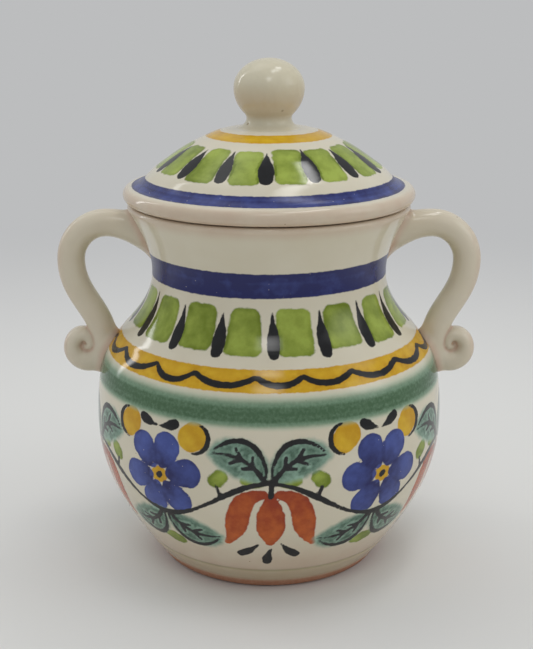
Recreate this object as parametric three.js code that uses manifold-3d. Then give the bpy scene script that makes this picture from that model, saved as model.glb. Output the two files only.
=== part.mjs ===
// A lidded spice pot: a thrown earthenware jar with a flared neck, two scroll handles
// luted to its wall, and a loose domed lid with a locating flange and a ball knob.
import * as THREE from 'three';
import { mergeVertices } from 'three/addons/utils/BufferGeometryUtils.js';
import Module from 'manifold-3d';

// Driving dimensions, in millimetres. The pot stands on z = 0, +Z is up and the handles lie along X.

// Pot wall, foot to rim
const FOOT_RADIUS = 32;
const FOOT_RING_WIDTH = 5.5;
const FOOT_RECESS = 1.6;
const FOOT_LINE_HEIGHT = 7.7;
const FOOT_LINE_WIDTH = 1.2;
const FOOT_LINE_DEPTH = 0.4;
const BELLY_RADIUS = 50.7;
const BELLY_HEIGHT = 41.7;
const SHOULDER_RADIUS = 42.9;
const SHOULDER_HEIGHT = 68.3;
const WAIST_RADIUS = 33.8;
const WAIST_HEIGHT = 86;
const RIM_RADIUS = 40.4;
const POT_HEIGHT = 105.1;
const WALL = 4.4;
const FLOOR_THICKNESS = 6.5;
const RIM_ROUND = 1.1;

// Lid, measured up from the plane that it rests on
const SEAT_GAP = 0.3;
const LID_OVERHANG = 1.1;
const LID_ROLL = 2.3;
const LID_WAIST_RADIUS = 32;
const LID_WAIST_RISE = 9.7;
const LID_SHOULDER_RADIUS = 21.6;
const LID_SHOULDER_RISE = 16.5;
const LID_CROWN_RISE = 20.45;
const LID_WALL = 4;
const FLANGE_DEPTH = 7;
const FLANGE_WALL = 3.4;
const FLANGE_CLEARANCE = 0.8;
const FLANGE_BEVEL = 0.8;

// Knob on the lid
const KNOB_BASE_RADIUS = 9.3;
const KNOB_STEM_RADIUS = 6.7;
const KNOB_STEM_HEIGHT = 3.1;
const KNOB_BALL_RADIUS = 10.2;
const KNOB_BALL_HALF_HEIGHT = 9.15;
const KNOB_BALL_RISE = 9.7;
const LUTE_GAP = 0.3;

// Handles: a round coil from the neck, out, down to the shoulder and round into a scroll
const COIL_RADIUS = 4;
const ROOT_DROP = 2;
const ROOT_FLARE = 1.6;
const ROOT_EMBED = 7;
const CREST_BELOW_RIM = 6.4;
const CREST_OUT = 10.2;
const REACH_DROP = 11;
const REACH_OUT = 20.6;
const SCROLL_BELOW_SHOULDER = 7.5;
const SCROLL_OUT = 4.5;
const SCROLL_RADIUS = 4.3;
const SCROLL_COIL_RADIUS = 3.9;
const SCROLL_TIP_RADIUS = 2.5;
const SCROLL_EYE_LAP = 0.8;

// Facets
const TURNED_SEGMENTS = 48;
const KNOB_SEGMENTS = 32;
const COIL_SIDES = 12;
const WALL_STEPS = 6;
const CURVE_STEPS = 5;
const ROUND_STEPS = 3;
const BOW_STEPS = 8;

// Shape factors: tangent lengths as shares of the span that each curve crosses
const HEEL_SLOPE = 0.72;
const HEEL_FULLNESS = 0.28;
const BELLY_DROP = 0.42;
const BELLY_RISE = 0.82;
const SHOULDER_EASE = 0.37;
const NECK_EASE = 0.52;
const WAIST_EASE = 0.41;
const FLARE_RISE = 0.33;
const FLARE_LEAN = 0.5;
const BOW_DROP = 0.44;
const LANDING_RISE = 0.42;
const ROUND_KAPPA = 0.5523;

// Turns of the scroll, in radians anticlockwise from +X
const SCROLL_LANDING = Math.PI;
const SCROLL_LAP = 1.3 * Math.PI;
const SCROLL_UNDERSIDE = 1.5 * Math.PI;
const SCROLL_TIP = 2.6 * Math.PI;

// Finishes
const CREAM_GLAZE = { color: 0xd8d2c2, roughness: 0.18, metalness: 0 };
const PAINTED_GLAZE = { color: 0xcfc8b4, roughness: 0.2, metalness: 0 };

const wasm = await Module();
wasm.setup();

// A solid turned on the wheel from an outline of Vector2 (radius, height) that starts and ends on the axis.
function turned(outline, segments) {
  return new THREE.LatheGeometry(outline, segments).rotateX(Math.PI / 2);
}

function solidOf(geometry) {
  const bare = geometry.clone();
  bare.deleteAttribute('normal');
  bare.deleteAttribute('uv');
  const merged = mergeVertices(bare, 1e-4);
  return new wasm.Manifold(new wasm.Mesh({
    numProp: 3,
    vertProperties: merged.attributes.position.array,
    triVerts: new Uint32Array(merged.index.array),
  }));
}

function geometryOf(solid) {
  const mesh = solid.getMesh();
  const geometry = new THREE.BufferGeometry();
  geometry.setAttribute('position', new THREE.BufferAttribute(mesh.vertProperties, 3));
  geometry.setIndex(new THREE.BufferAttribute(mesh.triVerts, 1));
  geometry.computeVertexNormals();
  return geometry;
}

// Quarter of a round edge, from one end to the other about a centre.
function roundEdge(centreR, centreZ, radius, fromAngle, toAngle, steps = ROUND_STEPS) {
  const clockwise = toAngle < fromAngle;
  const arc = new THREE.EllipseCurve(centreR, centreZ, radius, radius, fromAngle, toAngle, clockwise);
  return arc.getPoints(steps);
}

// A curve between two points that leaves one and reaches the other in given directions.
function easedCurve(from, leaving, to, reaching) {
  const third = from.distanceTo(to) / 3;
  return new THREE.CubicBezierCurve(
    from,
    from.clone().addScaledVector(leaving, third),
    to.clone().addScaledVector(reaching, -third),
    to,
  );
}

// Points of an outline moved sideways by a distance, to the right of its run when positive.
function offsetOutline(points, distance) {
  return points.map((point, i) => {
    const before = points[Math.max(i - 1, 0)];
    const after = points[Math.min(i + 1, points.length - 1)];
    const along = after.clone().sub(before).normalize();
    return new THREE.Vector2(point.x + along.y * distance, point.y - along.x * distance);
  });
}

// Radius of a rising outline at a height.
function radiusAt(points, height) {
  for (let i = 1; i < points.length; i += 1) {
    const low = points[i - 1];
    const high = points[i];
    if (height <= high.y) {
      return THREE.MathUtils.mapLinear(height, low.y, high.y, low.x, high.x);
    }
  }
  return points.at(-1).x;
}

// Outer face of the pot wall, from the foot up to the rim's rounded edge.
function wallCurve() {
  const shoulderRun = (SHOULDER_HEIGHT - BELLY_HEIGHT) * (1 - BELLY_RISE);
  const neckRun = (SHOULDER_RADIUS - WAIST_RADIUS) * NECK_EASE;
  const heelRise = BELLY_HEIGHT * HEEL_FULLNESS;
  const rimTop = POT_HEIGHT - RIM_ROUND;
  const flareRise = (rimTop - WAIST_HEIGHT) * FLARE_RISE;
  const curve = new THREE.Path();
  curve.moveTo(FOOT_RADIUS, 0);
  curve.bezierCurveTo(
    FOOT_RADIUS + heelRise * HEEL_SLOPE, heelRise,
    BELLY_RADIUS, BELLY_HEIGHT * (1 - BELLY_DROP),
    BELLY_RADIUS, BELLY_HEIGHT,
  );
  curve.bezierCurveTo(
    BELLY_RADIUS, BELLY_HEIGHT + (SHOULDER_HEIGHT - BELLY_HEIGHT) * BELLY_RISE,
    SHOULDER_RADIUS + (BELLY_RADIUS - SHOULDER_RADIUS) * SHOULDER_EASE, SHOULDER_HEIGHT - shoulderRun,
    SHOULDER_RADIUS, SHOULDER_HEIGHT,
  );
  curve.bezierCurveTo(
    SHOULDER_RADIUS - neckRun, SHOULDER_HEIGHT + neckRun,
    WAIST_RADIUS, WAIST_HEIGHT - (WAIST_HEIGHT - SHOULDER_HEIGHT) * WAIST_EASE,
    WAIST_RADIUS, WAIST_HEIGHT,
  );
  curve.bezierCurveTo(
    WAIST_RADIUS, WAIST_HEIGHT + flareRise,
    WAIST_RADIUS + (RIM_RADIUS - WAIST_RADIUS) * FLARE_LEAN, rimTop - flareRise,
    RIM_RADIUS, rimTop,
  );
  return curve;
}

const outerWall = wallCurve().getPoints(WALL_STEPS);
const innerWall = offsetOutline(outerWall, -WALL);

// Outer face with the fine line turned into it above the foot.
function linedWall() {
  const below = FOOT_LINE_HEIGHT - FOOT_LINE_WIDTH / 2;
  const above = FOOT_LINE_HEIGHT + FOOT_LINE_WIDTH / 2;
  const lineRadius = radiusAt(outerWall, FOOT_LINE_HEIGHT) - FOOT_LINE_DEPTH;
  return [
    ...outerWall.filter((p) => p.y < below),
    new THREE.Vector2(radiusAt(outerWall, below), below),
    new THREE.Vector2(lineRadius, FOOT_LINE_HEIGHT),
    new THREE.Vector2(radiusAt(outerWall, above), above),
    ...outerWall.filter((p) => p.y > above),
  ];
}

// The jar: foot ring, outer wall, rounded rim, inner wall and floor in one closed outline.
function potOutline() {
  const rimEdge = roundEdge(RIM_RADIUS - RIM_ROUND, POT_HEIGHT - RIM_ROUND, RIM_ROUND, 0, Math.PI / 2);
  const mouthHeight = POT_HEIGHT - RIM_ROUND;
  const mouthRadius = radiusAt(innerWall, mouthHeight);
  const mouthEdge = roundEdge(mouthRadius + RIM_ROUND, mouthHeight, RIM_ROUND, Math.PI / 2, Math.PI);
  const hollowFoot = FLOOR_THICKNESS + WALL;
  const hollow = innerWall.filter((p) => p.y > hollowFoot && p.y < mouthHeight - RIM_ROUND).reverse();
  const cornerRadius = radiusAt(innerWall, hollowFoot);
  const corner = roundEdge(cornerRadius - WALL, hollowFoot, WALL, 0, -Math.PI / 2);
  const ringInner = FOOT_RADIUS - FOOT_RING_WIDTH;
  return [
    new THREE.Vector2(0, FOOT_RECESS),
    new THREE.Vector2(ringInner - FOOT_RECESS, FOOT_RECESS),
    new THREE.Vector2(ringInner, 0),
    ...linedWall().slice(0, -1),
    ...rimEdge,
    ...mouthEdge,
    ...hollow,
    ...corner,
    new THREE.Vector2(0, FLOOR_THICKNESS),
  ];
}

// The lid: crown, dome that flares out to a rolled rim, flat seat, locating flange and hollow underside.
const lidSeat = POT_HEIGHT + SEAT_GAP;
const lidRadius = RIM_RADIUS + LID_OVERHANG;
const flangeRadius = radiusAt(innerWall, lidSeat - FLANGE_DEPTH) - FLANGE_CLEARANCE;
const crownHeight = lidSeat + LID_CROWN_RISE;

function lidOutline() {
  const rollR = lidRadius - LID_ROLL;
  const rollZ = lidSeat + LID_ROLL;
  const crownEdge = new THREE.Vector2(KNOB_BASE_RADIUS + LUTE_GAP, crownHeight);
  const shoulder = new THREE.Vector2(LID_SHOULDER_RADIUS, lidSeat + LID_SHOULDER_RISE);
  const waist = new THREE.Vector2(LID_WAIST_RADIUS, lidSeat + LID_WAIST_RISE);
  const rollTop = new THREE.Vector2(rollR, rollZ + LID_ROLL);
  const level = new THREE.Vector2(1, 0);
  const shoulderFall = waist.clone().sub(crownEdge).normalize();
  const waistFall = rollTop.clone().sub(shoulder).normalize();
  const crown = easedCurve(crownEdge, level, shoulder, shoulderFall).getPoints(ROUND_STEPS);
  const dome = [
    ...easedCurve(shoulder, shoulderFall, waist, waistFall).getPoints(ROUND_STEPS),
    ...easedCurve(waist, waistFall, rollTop, level).getPoints(ROUND_STEPS).slice(1),
  ];
  const roll = roundEdge(rollR, rollZ, LID_ROLL, Math.PI / 2, -Math.PI / 2, 2 * ROUND_STEPS);
  const flangeFoot = lidSeat - FLANGE_DEPTH;
  const flangeInner = flangeRadius - FLANGE_WALL;
  const skin = offsetOutline([...crown, ...dome.slice(1)], LID_WALL);
  const underside = skin.filter((p) => p.x < flangeInner && p.y < crownHeight - LID_WALL);
  const flangeRoot = radiusAt(skin.map((p) => new THREE.Vector2(p.y, p.x)), flangeInner);
  return [
    new THREE.Vector2(0, crownHeight - LID_WALL),
    ...underside,
    new THREE.Vector2(flangeInner, flangeRoot),
    new THREE.Vector2(flangeInner, flangeFoot + FLANGE_BEVEL),
    new THREE.Vector2(flangeInner + FLANGE_BEVEL, flangeFoot),
    new THREE.Vector2(flangeRadius - FLANGE_BEVEL, flangeFoot),
    new THREE.Vector2(flangeRadius, flangeFoot + FLANGE_BEVEL),
    new THREE.Vector2(flangeRadius, lidSeat),
    ...roll.reverse(),
    ...dome.reverse().slice(1),
    ...crown.reverse().slice(1),
    new THREE.Vector2(0, crownHeight),
  ];
}

// The knob: a flared base, a waisted stem and a flattened ball.
function knobOutline() {
  const base = crownHeight + LUTE_GAP;
  const stem = base + KNOB_STEM_HEIGHT;
  const centre = base + KNOB_BALL_RISE;
  const under = Math.asin(KNOB_STEM_RADIUS / KNOB_BALL_RADIUS) * 1.08;
  const joinR = KNOB_BALL_RADIUS * Math.sin(under);
  const joinZ = centre - KNOB_BALL_HALF_HEIGHT * Math.cos(under);
  const stemCurve = new THREE.CubicBezierCurve(
    new THREE.Vector2(KNOB_BASE_RADIUS, base),
    new THREE.Vector2(KNOB_STEM_RADIUS, base + KNOB_STEM_HEIGHT * ROUND_KAPPA),
    new THREE.Vector2(KNOB_STEM_RADIUS, stem),
    new THREE.Vector2(joinR, joinZ),
  ).getPoints(CURVE_STEPS);
  const ball = new THREE.EllipseCurve(
    0, centre, KNOB_BALL_RADIUS, KNOB_BALL_HALF_HEIGHT, under - Math.PI / 2, Math.PI / 2, false,
  ).getPoints(2 * CURVE_STEPS);
  return [
    new THREE.Vector2(0, base),
    ...stemCurve,
    ...ball.slice(1, -1),
    new THREE.Vector2(0, centre + KNOB_BALL_HALF_HEIGHT),
  ];
}

// A coil along a flat run in the XZ plane, closed at both ends.
// Each station has a place, a direction and its two radii.
function coil(stations) {
  const positions = [];
  const faces = [];
  for (const { place, along, inPlane, across } of stations) {
    for (let side = 0; side < COIL_SIDES; side += 1) {
      const turn = (side / COIL_SIDES) * 2 * Math.PI;
      const reach = inPlane * Math.cos(turn);
      positions.push(place.x - along.y * reach, across * Math.sin(turn), place.y + along.x * reach);
    }
  }
  for (let ring = 0; ring + 1 < stations.length; ring += 1) {
    for (let side = 0; side < COIL_SIDES; side += 1) {
      const a = ring * COIL_SIDES + side;
      const b = ring * COIL_SIDES + ((side + 1) % COIL_SIDES);
      faces.push(a, a + COIL_SIDES, b, b, a + COIL_SIDES, b + COIL_SIDES);
    }
  }
  const last = (stations.length - 1) * COIL_SIDES;
  for (let side = 1; side + 1 < COIL_SIDES; side += 1) {
    faces.push(0, side, side + 1);
    faces.push(last, last + side + 1, last + side);
  }
  const geometry = new THREE.BufferGeometry();
  geometry.setAttribute('position', new THREE.Float32BufferAttribute(positions, 3));
  geometry.setIndex(faces);
  return geometry;
}

const crestHeight = POT_HEIGHT - CREST_BELOW_RIM;
const rootHeight = crestHeight - ROOT_DROP;
const rootRadius = radiusAt(outerWall, rootHeight);
const scrollHeight = SHOULDER_HEIGHT - SCROLL_BELOW_SHOULDER;
const scrollCentre = new THREE.Vector2(radiusAt(outerWall, scrollHeight) + SCROLL_OUT, scrollHeight);

// Centreline of the bow, from inside the neck wall to the scroll's inner side.
function bowCurve() {
  const root = new THREE.Vector2(rootRadius - ROOT_EMBED, rootHeight - ROOT_EMBED / 2);
  const crest = new THREE.Vector2(rootRadius + CREST_OUT, crestHeight);
  const reach = new THREE.Vector2(rootRadius + REACH_OUT, crestHeight - REACH_DROP);
  const landing = new THREE.Vector2(scrollCentre.x - SCROLL_RADIUS, scrollCentre.y);
  const fall = reach.y - landing.y;
  const bow = new THREE.Path();
  bow.moveTo(root.x, root.y);
  bow.bezierCurveTo(rootRadius, rootHeight, crest.x - CREST_OUT / 2, crest.y, crest.x, crest.y);
  bow.bezierCurveTo(
    crest.x + (reach.x - crest.x) * ROUND_KAPPA, crest.y,
    reach.x, reach.y + (crest.y - reach.y) * ROUND_KAPPA,
    reach.x, reach.y,
  );
  bow.bezierCurveTo(
    reach.x, reach.y - fall * BOW_DROP,
    landing.x, landing.y + fall * LANDING_RISE,
    landing.x, landing.y,
  );
  return bow;
}

// Stations down the bow: flared where it is luted to the neck, full along the loop, thinner into the scroll.
function bowStations() {
  const bow = bowCurve();
  const stations = [];
  bow.curves.forEach((curve, stretch) => {
    for (let step = stretch === 0 ? 0 : 1; step <= BOW_STEPS; step += 1) {
      const share = step / BOW_STEPS;
      const flare = stretch === 0 ? 1 + (ROOT_FLARE - 1) * (1 - share) ** 2 : 1;
      const thinning = stretch === 2 ? share : 0;
      const radius = THREE.MathUtils.lerp(COIL_RADIUS, SCROLL_COIL_RADIUS, thinning);
      stations.push({
        place: curve.getPoint(share),
        along: curve.getTangent(share),
        inPlane: radius * flare,
        across: radius * (1 + (flare - 1) / 2),
      });
    }
  });
  return stations;
}

// Stations round the scroll between two turns, thinning all the way from the landing to the tip.
function scrollStations(from, to, steps) {
  const stations = [];
  for (let step = 0; step <= steps; step += 1) {
    const turn = THREE.MathUtils.lerp(from, to, step / steps);
    const radius = THREE.MathUtils.mapLinear(
      turn, SCROLL_LANDING, SCROLL_TIP, SCROLL_COIL_RADIUS, SCROLL_TIP_RADIUS,
    );
    const out = new THREE.Vector2(Math.cos(turn), Math.sin(turn));
    stations.push({
      place: out.clone().multiplyScalar(SCROLL_RADIUS).add(scrollCentre),
      along: new THREE.Vector2(-out.y, out.x),
      inPlane: radius,
      across: radius,
    });
  }
  return stations;
}

// Clay in the eye of the scroll, which is rolled too tight to leave a hole: a ball that the curl laps over.
function scrollEye() {
  const radius = SCROLL_RADIUS - SCROLL_TIP_RADIUS + SCROLL_EYE_LAP;
  const ball = new THREE.SphereGeometry(radius, COIL_SIDES, 2 * ROUND_STEPS);
  return ball.translate(scrollCentre.x, 0, scrollCentre.y);
}

// One handle on the +X side, trimmed to the pot's wall with the thickness of the slip that lutes it.
function handleSolid() {
  const bow = [
    ...bowStations(),
    ...scrollStations(SCROLL_LANDING, SCROLL_UNDERSIDE, CURVE_STEPS).slice(1),
  ];
  const curl = scrollStations(SCROLL_LAP, SCROLL_TIP, 2 * BOW_STEPS);
  const grown = offsetOutline(outerWall, LUTE_GAP);
  const core = turned(
    [new THREE.Vector2(0, grown[0].y), ...grown, new THREE.Vector2(0, grown.at(-1).y)],
    TURNED_SEGMENTS,
  );
  const rolled = solidOf(coil(bow)).add(solidOf(coil(curl))).add(solidOf(scrollEye()));
  return rolled.subtract(solidOf(core));
}

function piece(name, geometry, finish) {
  const mesh = new THREE.Mesh(geometry, new THREE.MeshStandardMaterial(finish));
  mesh.name = name;
  return mesh;
}

const handle = geometryOf(handleSolid());
const leftSide = new THREE.Group();
leftSide.rotation.z = Math.PI;
leftSide.add(piece('handle_left', handle, CREAM_GLAZE));

const jar = new THREE.Group();
jar.add(piece('pot_body', turned(potOutline(), TURNED_SEGMENTS), PAINTED_GLAZE));
jar.add(piece('handle_right', handle, CREAM_GLAZE));
jar.add(leftSide);

const lid = new THREE.Group();
lid.add(piece('lid_dome', turned(lidOutline(), TURNED_SEGMENTS), PAINTED_GLAZE));
lid.add(piece('lid_knob', turned(knobOutline(), KNOB_SEGMENTS), CREAM_GLAZE));

const spicePot = new THREE.Group();
spicePot.add(jar, lid);

export default spicePot;
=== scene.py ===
"""Dress the lidded spice pot: thrown, tin-glazed earthenware with painted bands and a flower garland.

Sizes in the classes are millimetres, meshes are metres, and the front of the pot faces -Y.
"""
import logging
import math
from collections.abc import Sequence
from dataclasses import dataclass, field
from enum import Enum
from typing import ClassVar

import bmesh
import bpy
import numpy as np
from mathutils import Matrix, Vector


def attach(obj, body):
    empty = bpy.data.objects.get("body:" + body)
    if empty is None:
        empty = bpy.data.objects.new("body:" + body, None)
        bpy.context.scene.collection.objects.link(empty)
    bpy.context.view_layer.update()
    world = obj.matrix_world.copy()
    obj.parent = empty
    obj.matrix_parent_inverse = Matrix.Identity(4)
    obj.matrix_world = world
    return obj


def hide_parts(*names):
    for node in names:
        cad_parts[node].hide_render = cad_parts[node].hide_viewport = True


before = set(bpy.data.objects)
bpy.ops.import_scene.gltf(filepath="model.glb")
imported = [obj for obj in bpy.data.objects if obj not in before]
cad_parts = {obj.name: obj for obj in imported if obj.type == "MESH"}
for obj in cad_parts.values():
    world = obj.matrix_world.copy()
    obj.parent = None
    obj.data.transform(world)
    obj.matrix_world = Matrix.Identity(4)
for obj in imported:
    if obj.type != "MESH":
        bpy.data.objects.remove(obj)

LOG = logging.getLogger("spice_pot")
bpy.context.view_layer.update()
MM = 0.001
TURN = 2 * math.pi
QUARTER = math.pi / 2
# The run along an outline tells where a point is: under the foot, inside, or, above OFF_FACE, on the painted face.
UNDER_FOOT, INSIDE, OFF_FACE = -2.0, -5.0, -1.0
# A distance that is nowhere near a mark, in millimetres, and one that keeps a division from failing.
FAR, TINY = 20.0, 1e-6

Point = tuple[float, float]
Place = tuple[float, float, float]
Tree = bpy.types.NodeTree
Socket = bpy.types.NodeSocket


def linear(hex_code: str) -> tuple[float, float, float, float]:
    """Turn an sRGB hex colour into linear RGBA.

    Args:
        hex_code: six hex digits with a leading #.

    Returns:
        The colour in linear light, with full alpha.
    """
    parts = [int(hex_code[i:i + 2], 16) / 255 for i in (1, 3, 5)]
    light = [c / 12.92 if c <= 0.04045 else ((c + 0.055) / 1.055) ** 2.4 for c in parts]
    return (*light, 1.0)


def per_mm(size: float) -> float:
    """Give the scale of a pattern whose cells are about a size in millimetres."""
    return 1 / (size * MM)


def add_node(
    tree: Tree, kind: str, links: dict | None = None, out: int | str = 0, **settings: object,
) -> Socket | None:
    """Add a node with its settings, and link or set its inputs.

    Args:
        tree: the tree that gets the node.
        kind: the node's type name.
        links: input name or number to a socket that is linked, or to a plain value that is set.
        out: name or number of the output that is wanted.
        settings: properties of the node itself.

    Returns:
        That output, whose node holds the others, or None at the end of a tree.
    """
    node = tree.nodes.new(kind)
    for name, value in settings.items():
        setattr(node, name, value)
    for key, value in (links or {}).items():
        if isinstance(value, Socket):
            tree.links.new(value, node.inputs[key])
        else:
            node.inputs[key].default_value = value
    return node.outputs[out] if node.outputs else None


def bare_tree(owner: bpy.types.Material | bpy.types.World | bpy.types.Light) -> Tree:
    """Switch on the nodes of a material, world or lamp, and give its emptied tree.

    Args:
        owner: what the tree belongs to.

    Returns:
        The tree without nodes.
    """
    owner.use_nodes = True
    owner.node_tree.nodes.clear()
    return owner.node_tree


def seen_rays(tree: Tree) -> Socket:
    """Tell the rays that show the background, straight or in a reflection, from those that light the pot.

    Args:
        tree: the tree of the floor or the world.

    Returns:
        A socket that is 1 for camera, glossy and transmission rays.
    """
    rays = add_node(tree, "ShaderNodeLightPath").node.outputs
    seen = rays["Is Camera Ray"]
    for other in ("Is Glossy Ray", "Is Transmission Ray"):
        seen = add_node(tree, "ShaderNodeMath", {0: seen, 1: rays[other]}, operation="MAXIMUM")
    return seen


def bezier(points: Sequence[Point], steps: int = 60) -> np.ndarray:
    """Sample a plane Bezier curve of any degree.

    Args:
        points: its control points.
        steps: how many stretches to cut it into.

    Returns:
        Points along the curve, one row each.
    """
    t = np.linspace(0, 1, steps + 1)[:, None]
    work = [np.array(p, float) for p in points]
    while len(work) > 1:
        work = [a * (1 - t) + b * t for a, b in zip(work, work[1:])]
    return work[0]


def arc(centre: Point, radius: float, start: float, end: float, steps: int = 4) -> np.ndarray:
    """Sample a round edge between two angles in radians, one row for each point."""
    turn = np.linspace(start, end, steps + 1)
    return np.array(centre) + radius * np.stack([np.cos(turn), np.sin(turn)], 1)


def eased(start: np.ndarray, leaving: np.ndarray, end: np.ndarray, reaching: np.ndarray) -> np.ndarray:
    """Sample a curve between two points that leaves one and reaches the other in given directions.

    Args:
        start: the first point.
        leaving: the direction in which it leaves.
        end: the last point.
        reaching: the direction in which it arrives.

    Returns:
        Points along the curve, one row each.
    """
    third = np.linalg.norm(end - start) / 3
    first = start + leaving / np.linalg.norm(leaving) * third
    last = end - reaching / np.linalg.norm(reaching) * third
    return bezier([tuple(start), tuple(first), tuple(last), tuple(end)])


def run_of(points: np.ndarray) -> np.ndarray:
    """Give the length run along a line of points at each of them."""
    return np.r_[0, np.cumsum(np.hypot(*np.diff(points, axis=0).T))]


def along_of(points: np.ndarray) -> np.ndarray:
    """Give the direction of a line at each of its points, one unit row each."""
    ahead = np.gradient(points, axis=0)
    return ahead / np.linalg.norm(ahead, axis=1)[:, None]


def even(points: Sequence[Point] | np.ndarray, step: float) -> np.ndarray:
    """Space the points of a line evenly.

    Args:
        points: the line.
        step: about how far apart the new points lie.

    Returns:
        The same line with even points, ends kept.
    """
    line = np.array(points, float)
    run = run_of(line)
    places = np.linspace(0, run[-1], max(int(round(run[-1] / step)), 1) + 1)
    return np.stack([np.interp(places, run, line[:, k]) for k in (0, 1)], 1)


def smoothstep(low: float, high: float, value: np.ndarray) -> np.ndarray:
    """Ease from 0 at low to 1 at high, also where high is the smaller."""
    t = np.clip((value - low) / (high - low), 0, 1)
    return t * t * (3 - 2 * t)


class Side(Enum):
    """Side of the pot that a handle is on."""

    LEFT = -1
    RIGHT = 1


class Pigment(Enum):
    """Colours that the painter lays on the raw glaze, in the order that they are laid."""

    LIME = "lime"
    YELLOW = "yellow"
    BLUE = "blue"
    ORANGE = "orange"
    LEAF = "leaf"
    MOSS = "moss"
    INK = "ink"


@dataclass(frozen=True)
class Wash:
    """How one pigment looks: watery and full colour, and how its edge and its body break up.

    Lengths are millimetres. Pool is how much fuller the colour gets within reach of its edge, less
    than zero where it thins out there, and pinholes is the share of cells that have one. Dry is the
    roughness of a pigment that leaves the glaze less glassy, or 0.
    """

    pigment: Pigment
    watery: str
    full: str
    edge: float
    ragged: float
    grain: float
    mottle: float
    pool: float
    reach: float = 1.0
    pinholes: float = 0.0
    dry: float = 0.0


# Metal oxides brushed on raw tin glaze: cobalt, copper, antimony, iron and manganese. The eye gets
# watery colour that is uneven in the stroke. Copper greens bleed into a soft edge, and the others keep
# the brush's edge and pool a little along it. The cobalt is dry and has pinholes.
WASHES = (
    Wash(Pigment.LIME, "#a0b048", "#697a12", edge=0.3, ragged=0.3, grain=5.0, mottle=0.4, pool=0.35, reach=1.4),
    Wash(Pigment.YELLOW, "#dab022", "#c29002", edge=0.2, ragged=0.2, grain=3.0, mottle=0.3, pool=0.15),
    Wash(Pigment.BLUE, "#4d60ac", "#151b58", edge=0.17, ragged=0.16, grain=4.0, mottle=0.2, pool=0.2, reach=1.2,
         pinholes=0.4, dry=0.26),
    Wash(Pigment.ORANGE, "#c4611f", "#943204", edge=0.2, ragged=0.22, grain=3.0, mottle=0.35, pool=0.25),
    Wash(Pigment.LEAF, "#8fae9a", "#355441", edge=1.0, ragged=0.3, grain=1.2, mottle=0.2, pool=-0.45, reach=2.6),
    Wash(Pigment.MOSS, "#93b094", "#456445", edge=1.6, ragged=0.15, grain=0.8, mottle=0.16, pool=-0.75, reach=2.6),
    Wash(Pigment.INK, "#1c1d20", "#08090b", edge=0.16, ragged=0.2, grain=2.5, mottle=0.4, pool=0.0),
)


@dataclass(frozen=True)
class TinGlaze:
    """Tin-glazed earthenware: opaque cream glass over red clay, with or without painting.

    Colours are sRGB. Ripple and ripple_size are the height and width of the waves that the glaze set
    in, and specks is the share of the iron specks that came through. Haze is how far the gloss, a
    roughness, goes down and up. Lengths are millimetres.
    """

    name: str
    painted: bool
    cream: str = "#dcd5c1"
    cream_warm: str = "#d1c7ad"
    thin: str = "#bf977f"
    pooled_and_shaded: str = "#aca27f"
    speck: str = "#8b6c50"
    clay: str = "#a05a30"
    gloss: float = 0.08
    haze: Point = (0.7, 1.4)
    ripple: float = 0.022
    ripple_size: float = 4.5
    specks: float = 0.3
    speck_radius: float = 0.24
    clay_rough: float = 0.8
    ior: float = 1.45

    def build(self) -> bpy.types.Material:
        """Make the material.

        Returns:
            A material that reads Object coordinates and the piece's own attributes.
        """
        material = bpy.data.materials.new(self.name)
        nodes = GlazeNodes(self, bare_tree(material))
        tree, bare = nodes.tree, nodes.marks["bare"]
        colour = nodes.ground()
        # A haze of duller and brighter glass keeps the reflections from looking like plastic.
        rough = add_node(tree, "ShaderNodeMapRange", {
            0: nodes.clouds["haze"], 3: self.gloss * self.haze[0], 4: self.gloss * self.haze[1],
        })
        for wash in WASHES if self.painted else ():
            colour, mask = nodes.lay(colour, wash)
            if wash.dry:
                rough = add_node(tree, "ShaderNodeMix", {0: mask, 2: rough, 3: wash.dry})
        clay = add_node(tree, "ShaderNodeMix", {
            0: nodes.clouds["clay"], 6: linear(self.clay), 7: linear(self.thin),
        }, data_type="RGBA", out=2)
        colour = add_node(tree, "ShaderNodeMix", {0: bare, 6: colour, 7: clay}, data_type="RGBA", out=2)
        rough = add_node(tree, "ShaderNodeMix", {0: bare, 2: rough, 3: self.clay_rough})
        shader = add_node(tree, "ShaderNodeBsdfPrincipled", {
            "Base Color": colour, "Roughness": rough, "IOR": self.ior, "Normal": nodes.relief(),
        })
        add_node(tree, "ShaderNodeOutputMaterial", {"Surface": shader})
        return material


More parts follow.
